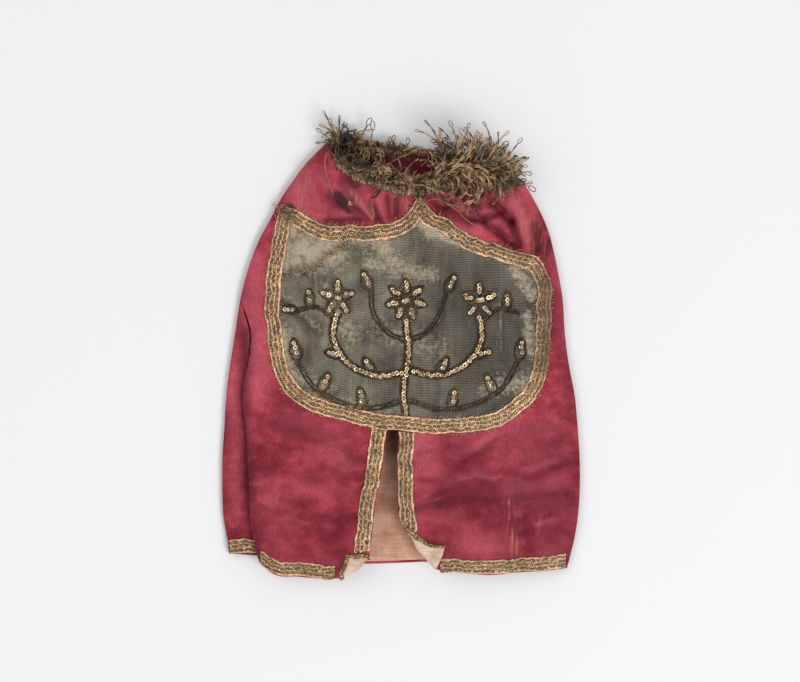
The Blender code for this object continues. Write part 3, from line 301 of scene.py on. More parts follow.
# Marks on the cloth, each a line with a width and a depth from 0 to 1.
Mark = namedtuple("Mark", "x0 y0 x1 y1 width depth")
STAINS = rows_of(
    Mark,
    (-50, 119, -46, 113, 4.6, 1), (-47, 113, -42, 107, 3.2, 0.7), (-88, 111, -86, 107.5, 3.5, 0.8),
    (76, 124, 84, 120, 5, 0.5),
)
WORN = rows_of(
    Mark,
    (-75.5, 133.7, -82.1, 112.4, 4.5, 0.8), (-38.1, 120.4, -34.1, 115.1, 4, 0.7),
    (-26.1, 111.1, -23.5, 103.1, 4, 1), (48.7, 113.1, 51.6, 107.3, 4, 0.9),
    (85, -126, 91.7, -165.7, 3.4, 0.9), (109, -138, 109.6, -148, 3.4, 0.6), (94, 118, 104, 84, 9, 0.45),
    (110, 94, 116, 74, 4, 0.5), (-8, 118, 8, 108, 5, 0.55),
)
# Darker places on the satin: partly dirt, partly painted shade in troughs and creases, under the front's
# folded left edge, below the fringe and inside the neck.
GRIME_AND_SHADE = rows_of(
    Mark,
    (50, -110, 110, -160, 50, 0.62), (112, -96, 128, -164, 32, 0.74), (37, -112, 78, -125, 17, 0.85),
    (92.6, -143, 106.5, -157, 15, 0.80), (37, -160.5, 52, -171, 9, 0.70),
    (101, -104, 134, -92, 11, 0.75), (45.6, -92, 71, -82, 5, 0.75), (14.3, -106, 30, -107.6, 4, 0.75),
    (-117, -140, -101, -164, 13, 0.55), (-77, -103, -61, -105, 7, 0.55),
    (-40, -88.6, -27, -91, 4.5, 0.70), (-80, -168, -48, -174, 9, 0.55), (110, 92, 140, -60, 9, 0.55),
    (-124, 10, -125.5, -40, 6, 1), (-125.5, -40, -120.5, -117, 6, 0.9),
    (-120.5, -117, -111, -176, 6, 0.8), (-119, -129, -90, -133, 4.5, 0.6),
    (-70, -136.1, -33, -136.1, 4.5, 0.8), (-69, -91.6, -45, -107.6, 6, 0.6),
    (15, -85, 47, -80, 4.5, 0.6), (12.6, -129.2, 47.4, -111.8, 9, 0.80),
    (-116, -150, -60, -150, 30, 0.42), (-84, -84, -30, -112, 20, 0.22), (-20, 126, 30, 122, 5, 0.5),
    (-56.8, 117.7, -51.5, 107.1, 10, 0.5), (-45.5, 128.4, -38.1, 115.1, 4.5, 0.8),
    (-39.5, 111.1, -27.5, 101.7, 4.5, 0.85), (-22.1, 108.4, -15.5, 97.7, 5, 1),
    (-4.8, 121.7, -3.5, 108.4, 6, 0.9), (-3.5, 108.4, -6.1, 100.4, 6, 0.9),
    (-59.5, 98.4, -32.8, 101.1, 4, 0.95), (29, 105.1, 54.5, 98.3, 4.5, 0.9),
    (54.5, 98.3, 71.9, 103.7, 4.5, 1), (28.3, 110.2, 54.5, 117.5, 8, 0.6),
    (55.9, 116, 63.2, 103.7, 4.5, 0.8), (73.4, 111.7, 86.5, 98.6, 6, 1), (86.5, 98.6, 92.3, 81.1, 6, 1),
    (69, 94.9, 77.7, 92.8, 4.5, 1), (77.7, 92.8, 90.1, 76.8, 5, 1), (106.8, 94.2, 107.6, 72.4, 5.5, 1),
    (111.2, 97.1, 115.6, 94.2, 4, 0.8), (34, 123, 70, 126, 6, 0.6), (-14, 151, 26, 147, 17, 0.8),
)
# Pale worn places on the shield's cloth, and painted highlights along the ridges of its creases.
PALE_AND_HIGHLIGHT = rows_of(
    Mark,
    (-84, 92, -30, 88, 9, 1), (-92, 70, -56, 76, 15, 1), (-20, 84, -4, 62, 10, 0.75),
    (14, 104, 24, 92, 8, 1), (30, 90, 102, 66, 6, 1), (90, 62, 104, 40, 6, 0.7),
    (-96, 10, -92, -20, 9, 0.9), (-92, -22, -60, -34, 8, 0.6), (-58, 44, -40, 8, 10, 0.5),
    (-92, 39.6, -64, 12, 3.2, 0.4), (78, 44, 78, -2, 3.2, 0.3), (-17, 84, 9, 55, 3.2, 0.5),
    (-26, 66, 24, 56, 8, 0.6), (70, -34, 100, -30, 9, 0.6), (-20, 12, 30, -2, 12, 0.35),
    (-70, -40, -10, -52, 5, 0.5), (100, 24, 104, -6, 6, 0.6),
)
# Where the back's lining lies in deep shade, inside the vent.
SHADE = rows_of(
    Mark,
    (-6, -64, -5, -84, 7, 1), (-4, -84, -3, -104, 5, 0.7), (-3.6, -104, -2, -136, 3.6, 0.4),
)
# Painted highlights: where the satin is brightest, on fold ridges and broad places drawn as if lit.
PAINTED_HIGHLIGHTS = rows_of(
    Mark,
    (-118, 66, -113, -30, 12, 0.7), (-88, 134, -72, 112, 9, 0.8), (-66, 134, -56, 124, 7, 0.7),
    (-84.8, 108.4, -62, 102, 6, 0.8), (-43.5, 124.4, -24.8, 105.7, 4.5, 0.9),
    (-15.5, 116.4, -8.1, 97.7, 4.5, 1), (-52.8, 104, -34.1, 104.4, 4, 0.9),
    (-30, 124, -20, 114, 6, 0.5), (50, 93, 66, 90, 6, 0.6), (67.6, 97.2, 79.2, 97.9, 4, 0.8),
    (79.2, 97.9, 87, 86, 4, 0.8), (54.5, 102.6, 74.8, 108.3, 4, 0.8), (80.7, 114.1, 96, 106, 8, 0.7),
    (96, 106, 99.6, 84.4, 7, 0.7), (54, -74, 120, -66, 14, 0.45), (124, 70, 134, -10, 7, 0.5),
    (-134, -10, -132, -140, 6, 0.5), (14.3, -70, 23, -99, 12, 0.75), (45.6, -105, 59.5, -100.6, 4, 0.8),
    (59.5, -100.6, 73.5, -104.6, 4, 0.8), (88, -118.8, 102, -120, 10, 0.5),
    (92.6, -87, 127, -85, 8, 0.4), (16, -134, 45, -136, 9, 0.5), (110, -125, 127, -130, 10, 0.5),
    (52, -159, 84, -163, 11, 0.5), (-57, -79, -44, -93, 11, 0.6), (-80, -114, -56, -113, 8, 0.4),
    (-104, -112, -92, -140, 12, 0.4), (-90, -60, -50, -72, 14, 0.4),
)
# Painted shade in the front's fold troughs and painted highlights on its ridges: the fold height that gives
# the full amount, and how dark the troughs go.
VALLEY_DEPTH = 2.6
VALLEY_SHADE = 0.85
# Where the fringe is dark with dirt, and how far down its threads lie in shade.
FRINGE_DARK = rows_of(
    Mark,
    (-49, 152, -43, 170, 7.5, 0.9), (-46, 152, -26, 142, 6, 0.9), (32, 150, 38, 158, 6, 0.8),
    (2, 140, 16, 136, 5, 0.6), (60, 150, 82, 138, 5, 0.5), (78, 127, 96, 130, 5, 0.6),
)
RECESS_DEPTH = 14.0
THREAD_TONE = 0.42
# Where the shield's cloth has kept its dark colour, with painted shade along its creases, and where the
# braid is dark.
DULL_AND_CREASE_SHADE = rows_of(
    Mark,
    (60, 40, 80, -30, 44, 1), (20, 76, 60, 66, 12, 0.5), (-10, -20, 40, -30, 22, 0.5),
    (-94.4, 36, -66, 8, 3.4, 1), (81.5, 44, 81.5, -6, 3.4, 1), (-21, 82, 6, 53, 3.4, 0.9),
    (40, 64, 50, 42, 3.4, 0.8),
)
TARNISH = rows_of(
    Mark,
    (116, 52, 116, -12, 14, 1), (40, 96, 100, 74, 7, 0.45), (-98, 108, -86, 104, 6, 1),
    (6, 100, 22, 112, 7, 0.5), (-28, -100, -30, -140, 8, 0.4), (2, -76, 6, -138, 9, 0.3),
    (30, -178, 130, -174, 10, 0.38), (-110, -178, -54, -182, 10, 0.32),
    (-137, -162, -112, -162, 10, 0.45), (117, 60, 117, -30, 8, 0.6),
)

# Creases of the shield's cloth, ridges and troughs.
Crease = namedtuple("Crease", "x0 y0 x1 y1 width height")
SHIELD_CREASES = rows_of(
    Crease,
    (-94, 36.4, -64.8, 1, 2, 2), (-90, 40, -60, 6, 1.8, -1.4), (-84, 46, -70, 40, 1.6, 1),
    (79, 44, 79, -4, 2, 1.9), (83, 44, 83, -8, 1.8, -1.2), (-24, 84, 4, 54, 2.6, 1.8),
    (-60, 78, -50, 50, 3, 1.2), (30, -50, 34, -20, 2.4, 1.3), (-40, -48, -10, -52, 3, 1.2),
    (94, 30, 98, 0, 2.4, 1.3), (-4, 2, -2, -40, 2, 0.9), (40, 66, 52, 40, 2.6, 1.1),
)

# The neck fringe. A tuft is a row of twisted locks: where its roots run, how many there are, their
# length, how far they turn, rise, sag, spread, arch over and curl in degrees, the size of the loop
# at the tip, how far in the roots stand and how far out they scatter, and whether they hang on the
# front or the back.
Tuft = namedtuple("Tuft", "x0 x1 count length turn0 turn1 rise sag spread arc curl tip inset scatter front")
FRONT_LOCKS = rows_of(
    Tuft,
    (16, 50, 84, 48, 34, 50, 34, 24, 5, 36, 2.4, 2.4, 3, 12, 1),
    (30, 64, 44, 38, 26, 48, 36, 26, 6, 52, 3, 3.2, 3, 10, 1),
    (48, 74, 26, 29, 16, 44, 30, 26, 8, 56, 4, 3.4, 4, 8, 1),
    (66, 86, 14, 20, 6, 44, 30, 40, 12, 50, 6, 3, 3, 5, 1),
    (26, 70, 8, 22, 20, 66, 30, 40, 16, 20, 10, 3, 3, 20, 1),
    (76, 88, 5, 14, 60, 96, 24, 50, 12, 30, 8, 3, 3, 4, 1),
    (-46, 20, 20, 13, 0, 60, 40, 60, 40, 0, 16, 3.4, 3, 6, 1),
    (-36, 14, 22, 16, 0, 50, 46, 44, 24, 60, 10, 4.6, 3, 5, 1),
    (-42, 0, 14, 27, 46, 64, 34, 44, 12, 34, 6, 3.4, 4, 4, 1),
    (34, 62, 5, 15, 130, 170, 10, 60, 20, 0, 12, 2.6, 3, 0, 1),
    (57, 60, 2, 50, 0, 10, 14, 2, 1, 0, 0.6, 4.2, 3, 0, 1),
)
BACK_LOCKS = rows_of(
    Tuft,
    (-50, -41, 52, 15, -16, 20, 46, 30, 20, 0, 36, 2, 1, 6, 0),
    (-48, -46, 5, 26, -26, -20, 22, 12, 3, 0, 2, 1.8, 2, 0, 0),
    (-45, -41, 4, 27, 0, 16, 30, 20, 7, 0, 7, 2.6, 2, 0, 0),
    (-37, -36, 1, 25, 30, 30, 16, 4, 2, 0, 2, 4, 2, 0, 0),
    (-29, -28, 1, 20, 42, 42, 12, 4, 2, 0, 1.5, 4.8, 2, 0, 0),
    (-52, -48, 3, 21, -64, -48, 18, 16, 6, 0, 5, 3, 2, 0, 0),
    (-34, 2, 8, 8, -20, 60, 24, 60, 40, 0, 14, 2.6, 3, 2, 0),
    (30, 37, 8, 12, -14, 24, 34, 36, 12, 0, 7, 2.2, 3, 4, 0),
)
# Short pile: a row of plain loops, with their length, turn, spread, width and rise.
Pile = namedtuple("Pile", "x0 x1 count length turn spread wide rise inset front")
FRONT_PILES = rows_of(
    Pile,
    (-52, 26, 120, 9.5, 16, 8, 1.5, 1.8, 0.4, 1), (-52, 26, 60, 12, 24, 18, 2.8, 4.6, 0, 1),
    (-50, 24, 34, 11, 40, 40, 4.4, 6, -1, 1), (22, 92, 84, 9, 24, 12, 1.8, 1.6, 0.4, 1),
    (24, 90, 60, 15, 40, 16, 2.6, 2.6, 0, 1), (34, 88, 40, 16, 50, 14, 3, 2.6, -8, 1),
    (34, 76, 36, 17, 50, 16, 3, 2.6, -16, 1),
)
BACK_PILES = rows_of(
    Pile,
    (-58, 4, 120, 6, 10, 40, 2, 4, 3, 0), (-56, -34, 80, 9, 0, 70, 3, 8, 2, 0),
    (-52, -24, 60, 10, 160, 40, 3, 5, 6, 0), (-24, 8, 40, 7, 110, 40, 2.4, 3, 5, 0),
    (24, 44, 40, 9, 120, 60, 2.4, 4, 4, 0),
)
THREAD_RADIUS = 0.36
PILE_RADIUS = 0.33
FRAY_RADIUS = 0.18
PALE_THREAD_RADIUS = 0.26
DARK_THREAD_RADIUS = 0.40
LOCK_STEP = 1.0
LOCK_RADIUS = 0.34
LOCK_PITCH = 15.0
LOCK_CEILING = 40.0
# How much locks and loops vary, as shares of their tuft's or row's values.
LOCK_LENGTHS = (0.62, 1.12)
LOCK_RISES = (0.1, 1.25)
LOCK_SAGS = (0.5, 1.2)
LOCK_TIPS = (0.3, 1.4)
LOCK_INSETS = (0.2, 1.3)
PILE_LENGTHS = (0.7, 1.2)

HEADING_PITCH = 2.1
HEADING_RIB = 0.45
HEADING_SLANT = 3.4
HEADING_SHADE = 0.36

# Loose threads, as plan places with their height over the cloth.
PALE_THREADS = [
    [(-59, 154, 2), (-60.5, 148, 2.5), (-60, 140, 1.5), (-57.5, 130, 1.5), (-54, 120, 0.8)],
    [(-12, 144, 9), (4, 152, 10), (18, 156, 9), (22, 150, 8), (16, 143, 8)],
    [(58, 96, 0.9), (52, 100, 1.2), (44, 108, 1.2), (34, 114, 1), (26, 124, 2)],
    [(-96, 104, 3), (-98, 110, 3), (-101, 113, 2), (-103, 112, 1.6)],
    [(-99, 100, 2.6), (-101, 106, 2.4), (-100, 111, 2), (-98, 113, 1.6)],
    [(-84, 103, 2.6), (-88, 108, 2.6), (-94, 112, 2.2), (-100, 110, 2)],
    [(10, 111, 1.6), (6, 114, 1.6), (4, 119, 1.4), (8, 120, 1.4), (14, 114, 2)],
    [(18, 112, 2), (24, 116, 1.6), (30, 116, 1.2), (33, 112, 1)],
]
DARK_THREADS = [
    [(49.6, 130, 2), (54, 124, 1.2), (59, 119, 1.2), (60.5, 111, 1), (61.6, 103.6, 1)],
    [(62, 128, 2), (57, 122, 1.4), (54, 116, 1.2), (58, 108, 1), (62, 105, 1)],
    [(-36, 140, 3), (-39, 132, 1.6), (-34, 126, 1.4), (-30, 131, 1.6), (-36, 136, 2.4)],
    [(-34, 138, 3), (-33, 130, 1.6), (-37, 125, 1.2), (-40, 130, 1.6), (-36, 137, 2.4)],
    [(20, 126, 2), (26, 120, 1.2), (36, 112, 1.2), (34, 106, 1), (28, 110, 1.2)],
    [(24, 128, 2), (32, 118, 1.2), (40, 116, 1.2), (37, 110, 1)],
    [(-98, 104, 2.4), (-93, 107, 3.4), (-89, 104, 3), (-91, 100, 3.4), (-96, 102, 3)],
    [(-94, 110, 2.6), (-90, 112, 2.4), (-86, 110, 2.8), (-87, 106, 3.2), (-93, 104, 3)],
    [(-96, 98, 2.6), (-92, 101, 3.2), (-90, 107, 3.4), (-95, 108, 3), (-97, 104, 2.6)],
]

# The ornament couched on the shield: a leafy tree. A branch is a smooth line of double cord with
# its two cords a width apart, filled with sequins where it is wide.
Branch = namedtuple("Branch", "points width")
BRANCHES = [
    Branch([(4, -56), (2, -34), (6, -8), (4, 22)], 5),
    Branch([(1, -44), (-22, -50), (-46, -46), (-70, -32), (-82, -12)], 2.6),
    Branch([(7, -44), (30, -51), (56, -48), (80, -34), (94, -12)], 2.6),
    Branch([(2, -22), (-20, -24), (-42, -14), (-54, 8), (-50, 26)], 5),
    Branch([(8, -20), (28, -24), (50, -16), (64, 6), (62, 24)], 5),
    Branch([(4, 4), (-10, 10), (-22, 26), (-24, 44)], 2.6),
    Branch([(6, 4), (20, 10), (32, 26), (36, 42)], 2.6),
    Branch([(-52, 20), (-66, 30), (-82, 28)], 2.2),
    Branch([(64, 18), (78, 28), (94, 26)], 2.2),
]
Flower = namedtuple("Flower", "x y petals length width turn")
FLOWERS = rows_of(
    Flower,
    (4, 36, 7, 15, 8, 90), (-50, 38, 5, 12, 7.5, 90), (62, 36, 5, 12, 7.5, 90),
)
Leaf = namedtuple("Leaf", "x y angle length width")
LEAVES = rows_of(
    Leaf,
    (-24, 44, 112, 17, 8), (36, 42, 62, 17, 8), (-82, -12, 100, 18, 8.5), (94, -12, 84, 18, 8.5),
    (-82, 28, 176, 12, 7), (-72, 30, 92, 15, 7.5), (84, 28, 88, 15, 7.5), (-30, -49, 100, 16, 8),
    (40, -50, 80, 16, 8), (-64, -37, 66, 17, 8), (74, -38, 112, 17, 8), (-22, -23, 118, 16, 8),
    (30, -23, 62, 16, 8), (-46, -8, 168, 15, 7.5), (58, -8, 12, 15, 7.5),
)
# A loose curl of metal thread that wanders over the shield's upper left.
LOOSE_PURL = [(-94, 54), (-84, 60), (-70, 60), (-62, 70), (-50, 78), (-36, 86), (-22, 86)]
CORD_RADIUS = 0.52
CORD_LIFT = 1.1
PURL_RADIUS = 0.17
PURL_COIL = 0.8
PURL_PITCH = 1.25
SEQUIN_RADIUS = 1.7
SEQUIN_STEP = 2.7
SEQUIN_LIFT = 1.9
SEQUIN_SIDES = 14
# A sequin's rings of points: their share of its radius, and their height as such a share.
SEQUIN_RINGS = ((0.24, -0.10), (0.62, -0.02), (0.94, 0.14), (1.0, 0.10))

# Colours of the finishes, as linear light.
SATIN_DEEP = (0.178, 0.015, 0.026)
SATIN = (0.320, 0.033, 0.051)
SATIN_LIGHT = (0.490, 0.074, 0.100)
# Painted highlight colour of the satin's ridges and brightest places.
SATIN_HIGHLIGHT = (0.600, 0.125, 0.165)
SATIN_DARK = (0.062, 0.008, 0.017)
SATIN_WORN = (0.430, 0.215, 0.130)
STAIN = (0.040, 0.020, 0.024)
LAME_DARK = (0.050, 0.045, 0.035)
LAME = (0.140, 0.123, 0.088)
LAME_LIGHT = (0.225, 0.203, 0.146)
LAME_PALE = (0.500, 0.415, 0.290)
LAME_BROWN = (0.120, 0.085, 0.050)
BRAID_DARK = (0.034, 0.018, 0.008)
BRAID_DULL = (0.075, 0.038, 0.017)
BRAID_BROWN = (0.150, 0.078, 0.028)
BRAID_GOLD = (0.470, 0.265, 0.088)
BRAID_BRIGHT = (0.980, 0.690, 0.300)
SILK_BROWN = (0.400, 0.205, 0.112)
SILK = (0.700, 0.425, 0.250)
SILK_PALE = (0.950, 0.670, 0.425)
CORD_DARK = (0.036, 0.020, 0.011)
TAPE_BROWN = (0.200, 0.123, 0.056)
TAPE_GOLD = (0.460, 0.300, 0.142)
CORD_BROWN = (0.186, 0.110, 0.051)
CORD_LIGHT = (0.550, 0.352, 0.176)
GIMP_DARK = (0.028, 0.017, 0.011)
GIMP_BROWN = (0.085, 0.050, 0.026)
GIMP_LIGHT = (0.230, 0.145, 0.075)
GILT_DARK = (0.200, 0.125, 0.060)
GILT = (0.520, 0.370, 0.200)
GILT_LIGHT = (0.860, 0.700, 0.470)
LINEN_SHADE = (0.070, 0.036, 0.026)
LINEN_DARK = (0.480, 0.235, 0.150)
LINEN = (0.660, 0.370, 0.250)
LINEN_LIGHT = (0.800, 0.500, 0.360)
CREAM_DARK = (0.500, 0.330, 0.235)
CREAM = (0.700, 0.500, 0.370)
CREAM_LIGHT = (0.800, 0.630, 0.500)
LOOSE_SEQUINS = [(-40.0, 113.6)]

# The stage: lamps with their place in metres, size in metres and power in watts.
FLOOR_COLOUR = (0.86, 0.865, 0.88, 1)
SKY_STRENGTH = 0.60
LAMPS = [
    ("key", (2.2, -2.0, 3.2), 1.8, 92.0),
    ("fill", (-2.6, 1.0, 3.2), 3.2, 30.0),
]
LENS = 200.0
SENSOR = 36.0
FRAME_WIDTH = 640.0
VIEW_CENTRE = (-0.8, 3.6)


def columns(table):
    """The table's columns as arrays."""
    return [np.array(column, float) for column in zip(*table)]


def smooth(places, values, at):
    """A smooth line through (places, values), read at the places in at."""
    places, values, at = (np.asarray(v, float) for v in (places, values, at))
    slopes = np.gradient(values, places)
    i = np.clip(np.searchsorted(places, at) - 1, 0, len(places) - 2)
    span = places[i + 1] - places[i]
    t = np.clip((at - places[i]) / span, 0, 1)
    start = values[i] * (1 + 2 * t) * (1 - t) ** 2 + span * slopes[i] * t * (1 - t) ** 2
    end = values[i + 1] * (3 - 2 * t) * t**2 - span * slopes[i + 1] * t**2 * (1 - t)
    return start + end


def ease(t):
    """A smooth step from 0 to 1."""
    t = np.clip(t, 0, 1)
    return t * t * (3 - 2 * t)


SIDE_Y, SIDE_LEFT, SIDE_RIGHT, CROWN = columns(SIDES)
TUCK_Y, TUCK_LEFT, TUCK_STRIP, TUCK_LAP = columns(TUCKS)


def left_side(y):
    return smooth(SIDE_Y, SIDE_LEFT, y)


def right_side(y):
    return smooth(SIDE_Y, SIDE_RIGHT, y)


def front_left(y):
    """The front panel's left edge, which is the side fold above the tuck."""
    return np.where(y >= TUCK_TOP, left_side(y), smooth(TUCK_Y, TUCK_LEFT, y))


def along(edge, x):
    """The height in y of an outline that runs left to right, at x."""
    places, values = columns(edge)
    return smooth(places, values, x)


def run_along(line):
    """How far along a line each of its points lies."""
    return np.concatenate([[0], np.cumsum(np.linalg.norm(np.diff(line, axis=0), axis=1))])


def outline_points(edge, step):
    """Points spaced evenly along an outline, on a smooth line through its points."""
    xs, ys = columns(edge)
    run = np.concatenate([[0], np.cumsum(np.hypot(np.diff(xs), np.diff(ys)))])
    at = np.linspace(0, run[-1], max(3, round(run[-1] / step) + 1))
    return np.stack([smooth(run, xs, at), smooth(run, ys, at)], axis=1)


def shield_outline(step):
    """The closed outline of the shield, clockwise from the top left corner."""
    top = outline_points(SHIELD_TOP, step)
    right = outline_points(SHIELD_RIGHT, step)
    bottom = outline_points(SHIELD_BOTTOM, step)[::-1]
    left = outline_points(SHIELD_LEFT, step)
    return np.concatenate([top[:-1], right[:-1], bottom[:-1], left[:-1]])


SHIELD_RING = shield_outline(6.0)


def distance_to_line(points, ring):
    """How far each point lies from a closed line."""
    best = np.full(len(points), np.inf)
    for a, b in zip(ring, np.roll(ring, -1, axis=0)):
        side = b - a
        share = np.clip(((points - a) @ side) / (side @ side), 0, 1)
        best = np.minimum(best, np.hypot(*(points - a - share[:, None] * side).T))
    return best


def distance_to_shield(x, y):
    """How far outside the shield's outline each point lies, and 0 inside it."""
    points = np.stack([np.ravel(x), np.ravel(y)], axis=1)
    inside = np.zeros(len(points), bool)
    for a, b in zip(SHIELD_RING, np.roll(SHIELD_RING, -1, axis=0)):
        crosses = (a[1] > points[:, 1]) != (b[1] > points[:, 1])
        rise = b[1] - a[1] if b[1] != a[1] else 1e-9
        inside ^= crosses & (points[:, 0] < a[0] + (points[:, 1] - a[1]) / rise * (b[0] - a[0]))
    return np.where(inside, 0.0, distance_to_line(points, SHIELD_RING)).reshape(np.shape(x))


def lumps(x, y, table):
    """Small unevenness at each point: smooth noise between whole places of each lump's size."""
    total = np.zeros(np.shape(x))
    for lump in table:
        u, v = x / lump.size, y / lump.size
        i, j = np.floor(u), np.floor(v)
        u, v = ease(u - i), ease(v - j)

        def corner(right, up):
            mixed_up = 43758.5453 * np.sin(127.1 * (i + right) + 311.7 * (j + up) + 74.7 * lump.seed)
            return 2 * (mixed_up - np.floor(mixed_up)) - 1

        low = (1 - u) * corner(0, 0) + u * corner(1, 0)
        high = (1 - u) * corner(0, 1) + u * corner(1, 1)
        total = total + lump.height * ((1 - v) * low + v * high)
    return total


def folds(x, y):
    """Height of the ridges, troughs, gathers and hem waves, which die out at the shield."""
    total = np.zeros(np.shape(x))
    for fold in FOLDS:
        dx, dy = fold.x1 - fold.x0, fold.y1 - fold.y0
        length = math.hypot(dx, dy)
        run = ((x - fold.x0) * dx + (y - fold.y0) * dy) / length
        across = ((x - fold.x0) * dy - (y - fold.y0) * dx) / length
        past = np.maximum(0, np.maximum(-run, run - length))
        total += fold.height * np.exp(-((across**2 + past**2) / (fold.width / 2) ** 2))
    neck = along(FRONT_NECK, np.clip(x, FRONT_NECK[0].x, FRONT_NECK[-1].x)) - y
    phase = 2 * math.pi * x / GATHER_PITCH
    gathers = np.sin(phase) + 0.5 * np.sin(0.61 * phase + 1.0)
    total += GATHER_HEIGHT * gathers * np.exp(-np.maximum(neck, 0) / GATHER_LENGTH)
    fine = np.sin(2 * math.pi * x / PLEAT_PITCH + 0.9 * np.sin(x / 9.0))
    total += PLEAT_HEIGHT * fine * np.exp(-np.maximum(neck, 0) / PLEAT_LENGTH)
    hem = y - along(FRONT_HEM, np.clip(x, FRONT_HEM[0].x, FRONT_HEM[-1].x))
    wave = np.sin(2 * math.pi * x / HEM_WAVE_PITCH + 0.8)
    total += HEM_WAVE_HEIGHT * wave * np.exp(-np.maximum(hem, 0) / HEM_WAVE_LENGTH)
    return total * ease(distance_to_shield(x, y) / SHIELD_FADE)


def shell(x, y):
    """Height of the flattened tube's upper side before any tuck, and its share of the crown."""
    left, right = left_side(y), right_side(y)
    middle, half = (left + right) / 2, (right - left) / 2
    off = np.clip(np.abs(x - middle) / half, 0, 1)
    share = (1 - off**SECTION_POWER) ** (1 / SECTION_ROOT)
    crown = smooth(SIDE_Y, CROWN, y)
    return SIDE_LEVEL + (crown - SIDE_LEVEL) * share, share


def exact_front_height(x, y):
    """Height of the middle of the front panel."""
    base, share = shell(x, y)
    from_edge = x - front_left(y)
    tucked = ease((TUCK_TOP - y) / TUCK_FADE)
    curl = EDGE_CURL * np.exp(-((from_edge / EDGE_CURL_WIDTH) ** 2))
    lift = EDGE_LIFT * ease((EDGE_LIFT_TOP - y) / EDGE_LIFT_FADE)
    lift = lift * np.exp(-((from_edge / EDGE_LIFT_WIDTH) ** 2))
    rise = (folds(x, y) + lumps(x, y, BODY_LUMPS)) * ease(share / FOLDS_SHARE)
    return base + rise + tucked * (lift - curl) + SEAM_GAP * (1 - ease(share / SEAM_SHARE))


class Field:
    """A height function, worked out once on a fine grid and read between its points."""

    def __init__(self, function):
        self.x0, self.y0 = FIELD_START
        x = self.x0 + FIELD_STEP * np.arange(FIELD_COUNT[0])
        y = self.y0 + FIELD_STEP * np.arange(FIELD_COUNT[1])
        self.heights = function(*np.meshgrid(x, y))

    def __call__(self, x, y):
        u = np.clip((x - self.x0) / FIELD_STEP, 0, FIELD_COUNT[0] - 1.001)
        v = np.clip((y - self.y0) / FIELD_STEP, 0, FIELD_COUNT[1] - 1.001)
        i, j = np.floor(u).astype(int), np.floor(v).astype(int)
        u, v = u - i, v - j
        low = (1 - u) * self.heights[j, i] + u * self.heights[j, i + 1]
        high = (1 - u) * self.heights[j + 1, i] + u * self.heights[j + 1, i + 1]
        return (1 - v) * low + v * high


front_height = Field(exact_front_height)


def strip_height(x, y):
    """Height of the middle of the back panel where it wraps over the left side."""
    base, _ = shell(x, y)
    limit = smooth(TUCK_Y, TUCK_STRIP, y)
    base, limit = base / STRIP_SOFTNESS, limit / STRIP_SOFTNESS
    return -STRIP_SOFTNESS * np.logaddexp(-base, -limit)


def normals(height, x, y):
    """Unit normals of a height surface."""
    step = NORMAL_STEP
    dx = (height(x + step, y) - height(x - step, y)) / (2 * step)
    dy = (height(x, y + step) - height(x, y - step)) / (2 * step)
    up = np.stack([-dx, -dy, np.ones_like(dx)], axis=-1)
    return up / np.linalg.norm(up, axis=-1, keepdims=True)


def fold_frame(turned):
    """A turned corner's fold line: its start, direction, outward direction and length."""
    start = np.array([turned.vent_x, turned.vent_y])
    line = np.array([turned.hem_x, turned.hem_y]) - start
    length = math.hypot(*line)
    direction = line / length
    outward = np.array([direction[1], -direction[0]])
    if outward @ (np.array([VENT_AXIS, FRONT_HEM[0].y]) - start) < 0:
        outward = -outward
    return start, direction, outward, length


def roll_radius(turned, run):
    """The radius of a turned corner's roll, which narrows towards both ends of its fold line."""
    return turned.radius * np.clip(np.minimum(run, 1 - run) / ROLL_TAPER, ROLL_LEAST, 1)


def front_cloth(points, lift, turned=None):
    """Flat cloth points of the front panel as they lie, lift above the middle of the cloth.

    Points beyond a turned corner's fold line roll up round its radius and lie back on the front.
    """
    x, y = points[..., 0], points[..., 1]
    if turned is None:
        place = np.stack([x, y, front_height(x, y)], axis=-1)
        return place + lift * normals(front_height, x, y)
    start, direction, outward, length = fold_frame(turned)
    beyond = (points - start) @ outward
    radius = roll_radius(turned, (points - start) @ direction / length)
    angle = np.clip(beyond / radius, 0, math.pi)
    laid = np.maximum(beyond - math.pi * radius, 0)
    shift = radius * np.sin(angle) - laid - np.maximum(beyond, 0)
    x, y = x + shift * outward[0], y + shift * outward[1]
    up = normals(front_height, x, y)
    height = radius * (1 - np.cos(angle)) + lift * np.cos(angle)
    place = np.stack([x, y, front_height(x, y)], axis=-1) + height[..., None] * up
    place[..., :2] -= (lift * np.sin(angle))[..., None] * outward
    return place


def patch(left, right, bottom, top, across, up):
    """Plan points of a four-sided field of cloth between its four edges, as rows of columns."""
    u, v = across[None, :, None], up[:, None, None]
    corners = (1 - v) * ((1 - u) * left[0] + u * right[0])
    corners = corners + v * ((1 - u) * left[-1] + u * right[-1])
    sides = (1 - u) * left[:, None] + u * right[:, None]
    ends = (1 - v) * bottom[None] + v * top[None]
    return sides + ends - corners


def face_outwards(mesh):
    """Makes all faces of a mesh agree, and a closed one's point out."""
    work = bmesh.new()
    work.from_mesh(mesh)
    bmesh.ops.recalc_face_normals(work, faces=work.faces)
    work.to_mesh(mesh)
    work.free()


def toward_edge(count, near):
    """Shares from 0 to 1 that crowd towards 1, the last few at the distances in near."""
    return np.concatenate([np.linspace(0, 1 - near[0], count), 1 - np.array(near[1:])])


def rows_below(turned):
    """Heights of a half's rows on the vent's edge: along the fold line, then up to the top."""
    on_line = np.linspace(turned.hem_y, turned.vent_y, LINE_ROWS)
    share = np.linspace(0, 1, VENT_ROWS) ** VENT_ROW_CROWDING
    return np.concatenate([on_line, turned.vent_y + share[1:] * (VENT_TOP - turned.vent_y)])


